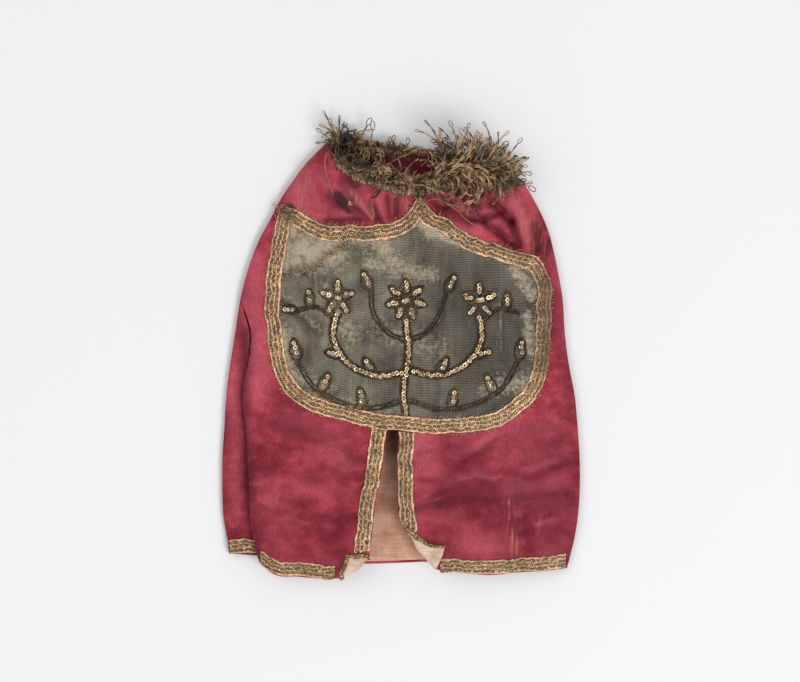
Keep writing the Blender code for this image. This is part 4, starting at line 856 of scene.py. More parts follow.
def rows_above():
    """Heights of the rows on the vent's axis, above the vent."""
    neck = float(along(FRONT_NECK, VENT_AXIS))
    under_shield = np.linspace(VENT_TOP, FOLDS_START, SHIELD_ROWS)[1:]
    return np.concatenate([under_shield, np.linspace(FOLDS_START, neck, NECK_ROWS)[1:]])


def vent_side(edge, turned):
    """The inner edge of one half of the front: the fold line, the vent, then the axis."""
    xs, ys = columns(edge)
    y = rows_below(turned)
    start, direction, _, _ = fold_frame(turned)
    share = (y - ys[-1]) / (VENT_TOP - ys[-1])
    over = xs[-1] + share * (VENT_AXIS - xs[-1])
    x = np.where(y > ys[-1], over, smooth(ys, xs, y))
    line_x = start[0] + (y - start[1]) * direction[0] / direction[1]
    x[:LINE_ROWS] = line_x[:LINE_ROWS]
    above = rows_above()
    y = np.concatenate([y, above])
    x = np.concatenate([x, np.full(len(above), VENT_AXIS)])
    return np.stack([x, y], axis=1)


def front_half(side, columns_across):
    """Plan points of one half of the front panel, with the columns from the vent outwards."""
    turned = TURNED_LEFT if side < 0 else TURNED_RIGHT
    inner = vent_side(VENT_LEFT if side < 0 else VENT_RIGHT, turned)
    outer_edge = front_left if side < 0 else right_side
    hem_end = FRONT_HEM[0] if side < 0 else FRONT_HEM[-1]
    neck_end = FRONT_NECK[0] if side < 0 else FRONT_NECK[-1]
    share = (inner[:, 1] - inner[0, 1]) / (inner[-1, 1] - inner[0, 1])
    y = hem_end.y + share * (neck_end.y - hem_end.y)
    outer = np.stack([outer_edge(y), y], axis=1)
    across = toward_edge(columns_across, NEAR_EDGE)
    hem_x = inner[0, 0] + across * (outer[0, 0] - inner[0, 0])
    neck_x = inner[-1, 0] + across * (outer[-1, 0] - inner[-1, 0])
    hem_y = along(FRONT_HEM, hem_x)
    hem_y = hem_y + (inner[0, 1] - hem_y[0]) * (1 - across) ** 4
    hem = np.stack([hem_x, hem_y], axis=1)
    neck = np.stack([neck_x, along(FRONT_NECK, neck_x)], axis=1)
    hem[-1], neck[-1] = outer[0], outer[-1]
    return patch(inner, outer, hem, neck, across, share)


def add_flap(sheet, turned, column, line, lift, inset=0.0):
    """Joins a turned corner to the column of points that stands on its fold line.

    Its columns stand at the same distances from the line in each layer. Where the corner is
    narrower than a column's distance, that column ends on the corner's edge. A layer with an
    inset goes round only where the corner is wide enough to lie back.
    """
    start, direction, outward, length = fold_frame(turned)
    run = np.clip((line - start) @ direction / length, 0, 1)
    width = turned.reach * np.minimum(run / turned.foot, (1 - run) / (1 - turned.foot))
    width = np.maximum(width - inset, 0)
    rolled = math.pi * turned.radius
    if inset:
        wide = width > 0.45 * math.pi * roll_radius(turned, run)
        column, line, width = column[wide], line[wide], width[wide]
    far = np.linspace(0, rolled, ROLL_STEPS + 1)
    far = np.concatenate([far, np.linspace(rolled, turned.reach, LAID_STEPS + 1)[1:]])
    beyond = np.minimum(far, width[:, None])
    flat = line[:, None] + beyond[..., None] * outward
    numbers = sheet.add(front_cloth(flat, lift, turned))
    numbers[:, 0] = column
    for row, distances in zip(numbers, beyond):
        for j in range(1, len(row)):
            if distances[j] - distances[j - 1] < LEAST_STEP:
                row[j] = row[j - 1]
    sheet.weave(numbers)


def back_height(x, y):
    """Height of the middle of the back panel on the floor, with its neck slightly raised."""
    raised = BACK_NECK_RISE * ease((y - NECK_RISE_START) / NECK_RISE_LENGTH)
    from_left = np.clip((x - left_side(y)) / SIDE_RADIUS, 0, 1)
    from_right = np.clip((right_side(y) - x) / SIDE_RADIUS, 0, 1)
    inward = np.minimum(from_left, from_right)
    round_side = 1 - np.sqrt(1 - (1 - inward) ** 2)
    level = FLOOR_LEVEL + raised * ease(inward)
    return level + (SIDE_LEVEL - SEAM_GAP - level) * round_side


def add_strip(sheet, edge, left):
    """The part of the back that wraps over the left side and runs in under the front."""
    y = left[:, 1]
    end = front_left(y) + smooth(TUCK_Y, TUCK_LAP, y)
    width = np.maximum(end - left[:, 0], 0)
    x = left[:, :1] + width[:, None] * np.array(STRIP_COLUMNS)
    wide_y = np.broadcast_to(y[:, None], x.shape)
    numbers = sheet.add(np.stack([x, wide_y, strip_height(x, wide_y)], axis=-1))
    numbers[-1] = edge[-1]
    sheet.weave(np.concatenate([edge[:, None], numbers], axis=1))


def inset_ring(ring, distance):
    """A closed clockwise outline moved inwards, with its sharp corners cut across."""
    if distance == 0:
        return ring
    tangent = np.roll(ring, -1, axis=0) - np.roll(ring, 1, axis=0)
    tangent /= np.linalg.norm(tangent, axis=1, keepdims=True)
    moved = ring + distance * np.stack([tangent[:, 1], -tangent[:, 0]], axis=1)
    clear = distance_to_line(moved, ring) > INSET_KEPT * distance
    place = np.arange(len(ring))
    for axis in (0, 1):
        known = moved[clear, axis]
        moved[:, axis] = np.interp(place, place[clear], known, period=len(ring))
    return moved


class Sheet:
    """The middle surface of a cloth piece, gathered from grids that share vertices."""

    def __init__(self):
        self.points = []
        self.faces = []

    def add(self, points):
        """Adds points and returns their numbers in the same arrangement."""
        start = len(self.points)
        self.points.extend(np.reshape(points, (-1, 3)))
        return start + np.arange(points[..., 0].size).reshape(points.shape[:-1])

    def weave(self, grid):
        """Faces between the rows and columns of numbered points. A repeated point narrows them."""
        for low, high in zip(grid[:-1], grid[1:]):
            for a, b, c, d in zip(low[:-1], low[1:], high[1:], high[:-1]):
                face = list(dict.fromkeys((int(a), int(b), int(c), int(d))))
                if len(face) > 2:
                    self.faces.append(face)

    def piece(self, name, thickness, finish):
        """The sheet as an object with its thickness, half of it on each side."""
        used = sorted({i for face in self.faces for i in face})
        renumber = {old: new for new, old in enumerate(used)}
        points = [self.points[i] for i in used]
        faces = [[renumber[i] for i in face] for face in self.faces]
        return mesh_piece(name, points, faces, finish, thickness)


def put(name, data):
    """A new object in the scene that shows this data."""
    thing = bpy.data.objects.new(name, data)
    bpy.context.collection.objects.link(thing)
    return thing


def mesh_piece(name, points, faces, finish, thickness=0.0):
    """A smooth object from points in millimetres, with a finish, that rides on the only body."""
    mesh = bpy.data.meshes.new(name)
    mesh.from_pydata((np.array(points) * MM).tolist(), [], faces)
    face_outwards(mesh)
    mesh.shade_smooth()
    mesh.materials.append(finish)
    thing = put(name, mesh)
    if thickness:
        thicken = thing.modifiers.new("thickness", "SOLIDIFY")
        thicken.thickness = thickness * MM
        thicken.offset = 0.0
    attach(thing, "root")
    return thing


def add_values(thing, name, values):
    """A number for each vertex of a piece, which its finish reads by name."""
    layer = thing.data.attributes.new(name, "FLOAT", "POINT")
    layer.data.foreach_set("value", np.asarray(values, np.float32))


def vertex_places(thing):
    """The places of a piece's vertices, in millimetres."""
    flat = np.empty(len(thing.data.vertices) * 3, np.float32)
    thing.data.vertices.foreach_get("co", flat)
    return flat.reshape(-1, 3) / MM


def plan_of(thing):
    """The plan places of a piece's vertices, in millimetres."""
    places = vertex_places(thing)
    return places[:, 0], places[:, 1]


def near_lines(x, y, marks):
    """How strongly soft marks, each a line with a width, show at each point."""
    total = np.zeros(np.shape(x))
    for mark in marks:
        dx, dy = mark.x1 - mark.x0, mark.y1 - mark.y0
        square = max(dx * dx + dy * dy, 1e-6)
        run = np.clip(((x - mark.x0) * dx + (y - mark.y0) * dy) / square, 0, 1)
        off = np.hypot(x - mark.x0 - run * dx, y - mark.y0 - run * dy)
        total = np.maximum(total, mark.depth * np.exp(-((off / mark.width) ** 2)))
    return total


def front_panel(satin):
    """The front: two halves that share the axis above the vent, each with its turned corner."""
    sheet = Sheet()
    shared = None
    for side, across in ((-1, COLUMNS_LEFT), (1, COLUMNS_RIGHT)):
        plan = front_half(side, across)
        grid = sheet.add(front_cloth(plan, 0.0))
        if shared is None:
            shared = grid[SPLIT_ROW:, 0]
        grid[SPLIT_ROW:, 0] = shared
        sheet.weave(grid)
        turned = TURNED_LEFT if side < 0 else TURNED_RIGHT
        add_flap(sheet, turned, grid[:LINE_ROWS, 0], plan[:LINE_ROWS, 0], 0.0)
    return sheet.piece("front_cloth", BODY_THICK, satin)


def back_panel(satin):
    """The back: flat on the floor, turned up at both sides and wrapped over on the left."""
    sheet = Sheet()
    hem, neck = BACK_HEM[0].y, BACK_NECK[0].y
    low = np.linspace(hem, TUCK_TOP, BACK_ROWS_LOW)
    high = np.linspace(TUCK_TOP, neck, BACK_ROWS_HIGH)[1:]
    share = (np.concatenate([low, high]) - hem) / (neck - hem)
    left_y = hem + share * (neck - hem)
    right_y = BACK_HEM[-1].y + share * (BACK_NECK[-1].y - BACK_HEM[-1].y)
    left = np.stack([left_side(left_y), left_y], axis=1)
    right = np.stack([right_side(right_y), right_y], axis=1)
    near = np.array(BACK_NEAR_EDGE)
    across = np.concatenate([near, np.linspace(*BACK_COLUMNS), 1 - near[::-1]])
    hem_x = left[0, 0] + across * (right[0, 0] - left[0, 0])
    neck_x = left[-1, 0] + across * (right[-1, 0] - left[-1, 0])
    hem = np.stack([hem_x, along(BACK_HEM, hem_x)], axis=1)
    neck = np.stack([neck_x, along(BACK_NECK, neck_x)], axis=1)
    plan = patch(left, right, hem, neck, across, share)
    x, y = plan[..., 0], plan[..., 1]
    grid = sheet.add(np.stack([x, y, back_height(x, y)], axis=-1))
    sheet.weave(grid)
    add_strip(sheet, grid[: len(low), 0], left[: len(low)])
    return sheet.piece("back_cloth", BODY_THICK, satin)


def lining_front(linen):
    """The front's lining below the shield, which the turned corners show."""
    sheet = Sheet()
    shared = None
    for side, across in ((-1, COLUMNS_LEFT), (1, COLUMNS_RIGHT)):
        plan = front_half(side, across)
        plan = plan[: SPLIT_ROW + 3, : across - 4].copy()
        turned = TURNED_LEFT if side < 0 else TURNED_RIGHT
        _, direction, _, _ = fold_frame(turned)
        plan[0, 0] -= LINING_CORNER_INSET * direction
        plan[0, 1:, 1] += LINING_HEM_INSET
        plan[LINE_ROWS - 1 : SPLIT_ROW, 0, 0] += side * LINING_VENT_INSET
        from_vent = np.abs(plan[..., 0] - plan[:, :1, 0])
        from_corner = np.maximum(plan[..., 1] - plan[LINE_ROWS, 0, 1], 0)
        sag = LINING_SAG * ease(np.maximum(from_vent, from_corner) / LINING_SAG_LENGTH)
        grid = sheet.add(front_cloth(plan, LINING_DROP - sag[..., None]))
        if shared is None:
            shared = grid[SPLIT_ROW:, 0]
        grid[SPLIT_ROW:, 0] = shared
        sheet.weave(grid)
        line = plan[:LINE_ROWS, 0]
        add_flap(sheet, turned, grid[:LINE_ROWS, 0], line, LINING_DROP, LINING_VENT_INSET)
    return sheet.piece("front_lining", LINING_THICK, linen)


def lining_back(linen):
    """The back's lining, which shows through the vent."""
    across = np.linspace(0, 1, LINING_COLUMNS)
    up = np.linspace(0, 1, LINING_COLUMNS)[:, None]
    x0 = BACK_HEM[0].x + LINING_SIDE_INSET
    x1 = BACK_HEM[-1].x - LINING_SIDE_INSET
    hem_x = x0 + across * (x1 - x0)
    hem_y = along(BACK_HEM, hem_x) + LINING_HEM_INSET
    y = hem_y + up * (LINING_BACK_TOP - hem_y)
    left = left_side(y) + LINING_SIDE_INSET
    right = right_side(y) - LINING_SIDE_INSET
    x = left + across * (right - left)
    soft = LINING_RIPPLE * (1 + np.sin(x / 7.0 + 0.04 * y)) * ease((y - hem_y) / 20.0)
    height = FLOOR_LEVEL - LINING_DROP + soft
    sheet = Sheet()
    sheet.weave(sheet.add(np.stack([x, y, height], axis=-1)))
    return sheet.piece("back_lining", LINING_THICK, linen)


def shield_lift(x, y):
    """How far the middle of the shield's cloth lies from the middle of the body cloth."""
    uneven = np.maximum(lumps(x, y, SHIELD_LUMPS) + 0.35, 0)
    creases = np.zeros(np.shape(x))
    for crease in SHIELD_CREASES:
        creases += crease.height * near_lines(x, y, [Mark(*crease[:5], 1.0)])
    inside = ease((distance_inside(x, y) - SHIELD_BRAID_WIDTH) / 10.0)
    return SHIELD_LIFT + (uneven + np.maximum(creases, -0.4)) * inside


def distance_inside(x, y):
    """How far inside the shield's outline each point lies."""
    points = np.stack([np.ravel(x), np.ravel(y)], axis=1)
    return distance_to_line(points, SHIELD_RING).reshape(np.shape(x))


def on_shield(plan, lift):
    """Plan points as they lie on the shield, lift above the middle of its cloth."""
    total = shield_lift(plan[..., 0], plan[..., 1]) + lift
    return front_cloth(plan, total[..., None])


def shield(lame):
    """The shield of ribbed metal cloth, whose raw edge lies under its braid."""
    across = np.linspace(0, 1, SHIELD_COLUMNS)
    up = np.linspace(0, 1, SHIELD_ROWS_OWN)
    edges = (SHIELD_TOP, SHIELD_RIGHT, SHIELD_BOTTOM, SHIELD_LEFT)
    lengths = [len(outline_points(edge, OUTLINE_STEP)) - 1 for edge in edges]
    ring = inset_ring(shield_outline(OUTLINE_STEP), SHIELD_EDGE_SHARE * SHIELD_BRAID_WIDTH)
    ring = np.concatenate([ring, ring[:1]])
    ends = [0, *np.cumsum(lengths)]
    top, right, bottom, left = [ring[a : b + 1] for a, b in zip(ends[:-1], ends[1:])]

    def even(line, shares):
        run = np.linspace(0, 1, len(line))
        return np.stack([np.interp(shares, run, line[:, i]) for i in (0, 1)], axis=1)

    plan = patch(
        even(left, up),
        even(right[::-1], up),
        even(bottom[::-1], across),
        even(top, across),
        across,
        up,
    )
    sheet = Sheet()
    sheet.weave(sheet.add(on_shield(plan, 0.0)))
    return sheet.piece("shield_cloth", SHIELD_THICK, lame)


def braid_height(run, share, width):
    """How far a braid's metal rows stand above its ground, along its run and across its width."""
    across = share * width
    total = np.zeros(np.broadcast(run, share).shape)
    for i, row in enumerate(BRAID_ROWS):
        off = (across - row * width) / (BRAID_ROW_HALF * width)
        body = np.maximum(1 - off**2, 0)
        twist = np.sin(2 * math.pi * (run / TWIST_PITCH + i * 0.37) + 2.2 * off)
        total += BRAID_ROW_HEIGHT * np.sqrt(body) + TWIST_HEIGHT * twist * body
    return total


def braid_piece(name, lines, lift_of, finish, width, turned=None):
    """A braid. lines(share) gives its plan line that far across, all with the same count."""
    shares = np.linspace(0, 1, BRAID_COLUMNS)
    plan = np.stack([lines(share) for share in shares])
    step = np.hypot(*np.diff(plan[len(plan) // 2], axis=0).T)
    run = np.concatenate([[0], np.cumsum(step)])
    wander = lumps(run[None, :] + 0 * shares[:, None], shares[:, None] * 3.0 + 0 * run, EDGE_LUMPS)
    across = plan[-1] - plan[0]
    across = across / np.linalg.norm(across, axis=1, keepdims=True)
    plan = plan + wander[..., None] * across
    rise = braid_height(run[None, :], shares[:, None], width)
    lift = lift_of(shares)[:, None] + rise + 0.5 * np.abs(wander)
    if callable(turned):
        points = turned(plan, lift)
    else:
        points = front_cloth(plan, lift[..., None])
    numbers = np.arange(points[..., 0].size).reshape(points.shape[:2])
    corners = (numbers[:-1, :-1], numbers[:-1, 1:], numbers[1:, 1:], numbers[1:, :-1])
    faces = np.stack(corners, axis=-1).reshape(-1, 4).tolist()
    thing = mesh_piece(name, points.reshape(-1, 3), faces, finish, BRAID_THICK)
    along_it = np.broadcast_to(run * MM, points.shape[:2])
    over_it = np.broadcast_to(shares[:, None], points.shape[:2])
    add_values(thing, "run", along_it.ravel())
    add_values(thing, "over", over_it.ravel())
    add_values(thing, "tarnish", near_lines(plan[..., 0], plan[..., 1], TARNISH).ravel())
    return thing


def shield_braid(finish):
    """The braid round the shield: its outer edge on the body, the rest on the shield."""
    ring = shield_outline(BRAID_STEP)

    def lines(share):
        line = inset_ring(ring, share * SHIELD_BRAID_WIDTH)
        return np.concatenate([line, line[:1]])

    def lift_of(shares):
        return ON_BODY + (ON_SHIELD - ON_BODY) * ease(shares / BRAID_CLIMB)

    return braid_piece("shield_braid", lines, lift_of, finish, SHIELD_BRAID_WIDTH)


def flat_lift(shares):
    return np.full(len(shares), ON_BODY)


def between_lines(outer, inner):
    return lambda share: outer + share * (inner - outer)


def vent_braids(finish):
    """The braids down both edges of the vent, from under the shield's braid to the corners."""
    made = []
    for own in VENT_BRAIDS:
        count = round((VENT_BRAID_TOP - own.inner_end) / BRAID_STEP)
        share = np.linspace(0, 1, count)
        xs, ys = columns(own.edge)
        near = xs[-2] + own.side * BRAID_INSET
        ends = (near, near + own.side * VENT_BRAID_WIDTH)
        y_top = [float(along(SHIELD_BOTTOM, x)) - BRAID_TO_BRAID for x in ends]
        y_outer = own.outer_end + share * (y_top[0] - own.outer_end)
        y_inner = own.inner_end + share * (y_top[1] - own.inner_end)
        edge_x = smooth(ys, xs, np.maximum(y_inner, own.outer_end))
        outer_x = smooth(ys, xs, y_outer) + own.side * BRAID_INSET
        inner_x = edge_x + own.side * (BRAID_INSET + VENT_BRAID_WIDTH)
        outer = np.stack([outer_x, y_outer], axis=1)
        inner = np.stack([inner_x, y_inner], axis=1)
        lines = between_lines(outer, inner)
        made.append(braid_piece(own.name, lines, flat_lift, finish, VENT_BRAID_WIDTH))
    return made


def corner_braid(name, turned, start, end, finish):
    """The braid's edge that shows along the free edges of a turned corner, over its lining."""
    begin, direction, outward, length = fold_frame(turned)
    run = np.linspace(start, end, round((end - start) * length / BRAID_STEP))
    edge = turned.reach * np.minimum(run / turned.foot, (1 - run) / (1 - turned.foot))

    def lines(share):
        along_fold = run * length
        beyond = np.maximum(edge + CORNER_BRAID_OUT - share * CORNER_BRAID_WIDTH, 0.0)
        return begin + np.outer(along_fold, direction) + np.outer(beyond, outward)

    def on_corner(plan, lift):
        return front_cloth(plan, -lift, turned)

    def lift_of(shares):
        return np.full(len(shares), CORNER_BRAID_LIFT)

    return braid_piece(name, lines, lift_of, finish, CORNER_BRAID_WIDTH, on_corner)


def hem_braids(finish):
    """The braids along the front's hem, on each side of the vent."""
    made = []
    for own in HEM_BRAIDS:
        x = np.linspace(own.x0, own.x1, round((own.x1 - own.x0) / BRAID_STEP))
        outer = np.stack([x, along(FRONT_HEM, x) + BRAID_INSET], axis=1)
        inner = outer + np.array([0.0, HEM_BRAID_WIDTH])
        lines = between_lines(outer, inner)
        made.append(braid_piece(own.name, lines, flat_lift, finish, HEM_BRAID_WIDTH))
    return made


def side_braid(finish):
    """The braid on the hem of the wrapped-over side strip."""
    count = round(26.0 / BRAID_STEP)

    def lines(share):
        y = BACK_HEM[0].y + BRAID_INSET + share * HEM_BRAID_WIDTH
        left = float(left_side(y)) + SIDE_BRAID_CLEARANCE
        x = np.linspace(left, float(front_left(y)) + TUCKED_UNDER, count)
        return np.stack([x, np.full(count, y)], axis=1)

    def on_strip(plan, lift):
        x, y = plan[..., 0], plan[..., 1]
        place = np.stack([x, y, strip_height(x, y)], axis=-1)
        return place + lift[..., None] * normals(strip_height, x, y)

    return braid_piece("side_braid", lines, flat_lift, finish, HEM_BRAID_WIDTH, on_strip)


def threads_piece(name, paths, radius, finish):
    """Round threads of one radius along many paths, as one mesh."""
    curve = bpy.data.curves.new(name, "CURVE")
    curve.dimensions = "3D"
    curve.bevel_depth = radius * MM
    curve.bevel_resolution = 0
    curve.use_fill_caps = True
    for path in paths:
        spline = curve.splines.new("POLY")
        spline.points.add(len(path) - 1)
        points = np.concatenate([path * MM, np.ones((len(path), 1))], axis=1)
        spline.points.foreach_set("co", points.astype(np.float32).ravel())
    holder = put(name + "_curve", curve)
    mesh = bpy.data.meshes.new_from_object(holder)
    bpy.data.objects.remove(holder)
    bpy.data.curves.remove(curve)
    mesh.name = name
    mesh.shade_smooth()
    mesh.materials.clear()
    mesh.materials.append(finish)
    thing = put(name, mesh)
    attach(thing, "root")
    places = vertex_places(thing)
    rings = np.array([len(path) + 2 for path in paths])
    # Painted shade: a thread darkens the lower it lies over the cloth, with a random tone for each thread.
    tones = np.random.default_rng(len(paths)).uniform(-1, 1, len(paths))
    tones = np.repeat(tones, rings * (len(places) // rings.sum()))
    deep = 1 - np.clip((places[:, 2] - cloth_top(places[:, 0], places[:, 1])) / RECESS_DEPTH, 0, 1)
    add_values(thing, "recess_shade", np.clip(deep + THREAD_TONE * tones, 0, 1))
    add_values(thing, "tarnish", near_lines(places[:, 0], places[:, 1], FRINGE_DARK))
    return thing


def beside(path):
    """Unit vectors to the side of a path and above it."""
    ahead = np.gradient(path, axis=0)
    ahead /= np.linalg.norm(ahead, axis=1, keepdims=True) + 1e-9
    side = np.cross(ahead, [0.0, 0.0, 1.0])
    side /= np.linalg.norm(side, axis=1, keepdims=True) + 1e-9
    return side, np.cross(side, ahead)


def wound(path, radius, pitch, phase=0.0):
    """A thread wound round a path."""
    run = run_along(path)
    turn = 2 * math.pi * run / pitch + phase
    side, up = beside(path)
    return path + radius * (np.cos(turn)[:, None] * side + np.sin(turn)[:, None] * up)


def resampled(path, step):
    """A path with points evenly spaced along it."""
    run = run_along(path)
    at = np.linspace(0, run[-1], max(3, round(run[-1] / step)))
    return np.stack([np.interp(at, run, path[:, i]) for i in range(path.shape[1])], axis=1)


def cloth_top(x, y):
    """Height of the highest cloth at each place, and of the floor beyond its edges."""
    inside = (x > left_side(y)) & (x < right_side(y))
    neck_x = np.clip(x, FRONT_NECK[0].x, FRONT_NECK[-1].x)
    front = inside & (y < along(FRONT_NECK, neck_x))
    back = inside & (y < along(BACK_NECK, neck_x))
    lower = np.where(back, back_height(x, y), 0.0)
    return np.where(front, front_height(x, y), lower)


def lock_paths(rng, tuft):
    """The twisted locks of one tuft: each goes out, opens into a small loop and comes back."""
    paths = []
    for i in range(tuft.count):
        share = (i + rng.uniform(0.1, 0.9)) / tuft.count
        x = tuft.x0 + share * (tuft.x1 - tuft.x0)
        edge = FRONT_NECK if tuft.front else BACK_NECK
        y = float(along(edge, x)) - tuft.inset * rng.uniform(*LOCK_INSETS)
        ground = front_height if tuft.front else back_height
        start = np.array([x, y, float(ground(np.array(x), np.array(y))) + 1.4])
        turn = math.radians(tuft.turn0 + share * (tuft.turn1 - tuft.turn0) + rng.normal(0, tuft.spread))
        advance = tuft.scatter * rng.uniform(0, 1)
        start = start + advance * np.array([math.sin(turn), math.cos(turn), rng.uniform(0, 0.5)])
        rise = math.radians(tuft.rise * rng.uniform(*LOCK_RISES))
        length = tuft.length * rng.uniform(*LOCK_LENGTHS)
        count = max(5, round(length / LOCK_STEP))
        bend = tuft.arc / tuft.length + rng.normal(0, tuft.curl) + rng.normal(0, tuft.curl, count)
        bend = np.cumsum(np.convolve(bend, np.ones(5) / 5, "same")) * math.radians(LOCK_STEP)
        drop = np.linspace(0, 1, count) ** 1.6 * math.radians(tuft.sag) * rng.uniform(*LOCK_SAGS)
        drop = drop + np.cumsum(rng.normal(0, 0.06, count))
        turns, rises = turn + bend, rise - drop
        flat = np.cos(rises)
        ahead = np.stack([np.sin(turns) * flat, np.cos(turns) * flat, np.sin(rises)], axis=1)
        middle = start + np.cumsum(ahead * length / count, axis=0)
        middle = np.concatenate([[start], middle])
        floor = cloth_top(middle[:, 0], middle[:, 1]) + 1.0
        middle[:, 2] = np.minimum(np.maximum(middle[:, 2], floor), LOCK_CEILING)
        path = lock_path(rng, middle, tuft.tip * rng.uniform(*LOCK_TIPS))
        path[:, 2] = np.maximum(path[:, 2], cloth_top(path[:, 0], path[:, 1]) + 0.5)
        paths.append(path)
    return paths


def lock_path(rng, middle, tip):
    """One thread that runs out along a path, round a teardrop tip, and back, twisted on itself."""
    fine = resampled(middle, LOCK_STEP)
    grown = np.linspace(0.6, 1.0, len(fine))[:, None]
    phase = rng.uniform(0, 6)
    out = fine + grown * (wound(fine, LOCK_RADIUS, LOCK_PITCH, phase) - fine)
    back = fine + grown * (wound(fine, LOCK_RADIUS, LOCK_PITCH, phase + math.pi) - fine)
    side, up = beside(fine)
    ahead = fine[-1] - fine[-2]
    ahead /= np.linalg.norm(ahead)
    tilt = rng.uniform(-0.9, 0.9)
    across = math.cos(tilt) * side[-1] + math.sin(tilt) * up[-1]
    if (out[-1] - fine[-1]) @ across < 0:
        across = -across
    turn = np.linspace(0, math.pi, 11)[1:-1]
    reach = tip * (1 - np.cos(2 * turn)) / 2 * 1.6
    wide = 0.42 * tip * np.sin(turn) * np.cos(turn) * 2
    loop = fine[-1] + np.outer(reach, ahead) + np.outer(wide, across)
    return np.concatenate([out, loop, back[::-1]])


def pile_paths(rng, pile):
    """Short plain loops that stand side by side in a heading."""
    paths = []
    for i in range(pile.count):
        share = (i + rng.uniform(0, 1)) / pile.count
        x = pile.x0 + share * (pile.x1 - pile.x0)
        edge = FRONT_NECK if pile.front else BACK_NECK
        ground = front_height if pile.front else back_height
        y = float(along(edge, x)) - pile.inset * rng.uniform(0.8, 1.15)
        turn = math.radians(pile.turn + rng.normal(0, pile.spread))
        ahead = np.array([math.sin(turn), math.cos(turn)])
        side = np.array([math.cos(turn), -math.sin(turn)])
        length = pile.length * rng.uniform(*PILE_LENGTHS)
        steps = np.linspace(0, math.pi, 9)
        run = np.sin(steps) * length
        off = pile.wide * (0.5 - steps / math.pi) * rng.uniform(0.6, 1.3)
        plan = np.array([x, y]) + np.outer(run, ahead) + np.outer(off, side)
        plan = plan + rng.normal(0, 0.12, plan.shape)
        height = ground(plan[:, 0], plan[:, 1]) + 0.9
        height = height + pile.rise * np.sin(steps) ** 0.7 * rng.uniform(0.4, 1.2)
        paths.append(np.concatenate([plan, height[:, None]], axis=1))
    return paths


def fringe(name, locks, piles, seed, finish):
    """A fringe of twisted locks and short pile, with its threads from one seed."""
    rng = np.random.default_rng(seed)
    long_paths = [path for tuft in locks for path in lock_paths(rng, tuft)]
    short_paths = [path for pile in piles for path in pile_paths(rng, pile)]
    return [
        threads_piece(name + "_locks", long_paths, THREAD_RADIUS, finish),
        threads_piece(name + "_pile", short_paths, PILE_RADIUS, finish),
    ]


def heading_wave(x, shares):
    """The slanting ribs of a heading, from -1 to 1."""
    return np.sin(2 * math.pi * x / HEADING_PITCH + HEADING_SLANT * shares)


def heading(name, edge, x0, x1, inset, width, ground, lift, finish):
    """The woven heading that a fringe hangs from: a narrow ribbed strip."""
    x = np.linspace(x0, x1, round((x1 - x0) / 0.5))
    shares = np.linspace(0, 1, 13)[:, None]
    y = along(edge, x)[None, :] - inset - shares * width
    wide_x = np.broadcast_to(x, y.shape)
    ribs = HEADING_RIB * heading_wave(wide_x, shares) + 0.9 * np.sin(math.pi * shares)
    place = np.stack([wide_x, y, ground(wide_x, y)], axis=-1)
    points = place + (lift + ribs)[..., None] * normals(ground, wide_x, y)
    sheet = Sheet()
    sheet.weave(sheet.add(points))
    made = sheet.piece(name, 0.9, finish)
    x, y = plan_of(made)
    shares = (along(edge, x) - inset - y) / width
    uneven = lumps(x, y, [Lump(4.0, 0.3, 67.0)])
    # Painted shade between the heading's ribs, with a random unevenness.
    add_values(made, "recess_shade", np.clip(0.4 + uneven - HEADING_SHADE * heading_wave(x, shares), 0, 1))
    add_values(made, "tarnish", near_lines(x, y, FRINGE_DARK))
    return made


def loose_threads(paths, radius, name, finish):
    """Loose threads, given as plan points with their height over the cloth."""
    made = []
    for table in paths:
        line = np.array(table)
        run = np.concatenate([[0], np.cumsum(np.hypot(*np.diff(line[:, :2], axis=0).T))])
        at = np.linspace(0, run[-1], max(6, round(run[-1] / 1.2)))
        x, y, up = (smooth(run, line[:, i], at) for i in range(3))
        made.append(np.stack([x, y, cloth_top(x, y) + up], axis=1))
    return threads_piece(name, made, radius, finish)


def frays(rng, ring, count, lift, length):
    """Short frayed threads that stick out from a line."""
    paths = []
    for _ in range(count):
        i = rng.integers(0, len(ring) - 1)
        ahead = ring[i + 1] - ring[i]
        ahead = ahead / (np.linalg.norm(ahead) + 1e-9)
        turn = rng.uniform(-1.2, 1.2)
        side = rng.choice([-1, 1]) * np.array([ahead[1], -ahead[0]])
        way = math.cos(turn) * side + math.sin(turn) * ahead
        reach = length * rng.uniform(0.3, 1.0)
        steps = np.linspace(0, 1, 5)
        bend = rng.normal(0, 0.35) * steps**2 * reach
        plan = ring[i] + np.outer(steps * reach, way) + np.outer(bend, ahead)
        height = lift + rng.uniform(0.0, 0.9) * np.sin(math.pi * steps * 0.8)
        paths.append(front_cloth(plan, height[:, None]))
    return paths


def leaf(x, y, angle, length, width):
    """The closed outline of an almond leaf that grows from x, y."""
    share = np.linspace(0, 1, 30)
    run = length * (1 - np.cos(2 * math.pi * share)) / 2
    off = width / 2 * np.sin(2 * math.pi * share) * (1 + 0.35 * np.cos(2 * math.pi * share))
    turn = math.radians(angle)
    ahead = np.array([math.cos(turn), math.sin(turn)])
    side = np.array([-ahead[1], ahead[0]])
    return np.array([x, y]) + np.outer(run, ahead) + np.outer(off, side)


def vine(points):
    """A smooth line through plan points."""
    line = np.array(points, float)
    run = np.concatenate([[0], np.cumsum(np.hypot(*np.diff(line, axis=0).T))])
    at = np.linspace(0, run[-1], max(8, round(run[-1])))
    return np.stack([smooth(run, line[:, i], at) for i in (0, 1)], axis=1)


def spoke(x, y, angle, near, far):
    """A short straight row at an angle in degrees from x, y."""
    turn = math.radians(angle)
    way = np.array([math.cos(turn), math.sin(turn)])
    return np.array([x, y]) + np.outer([near, far], way)


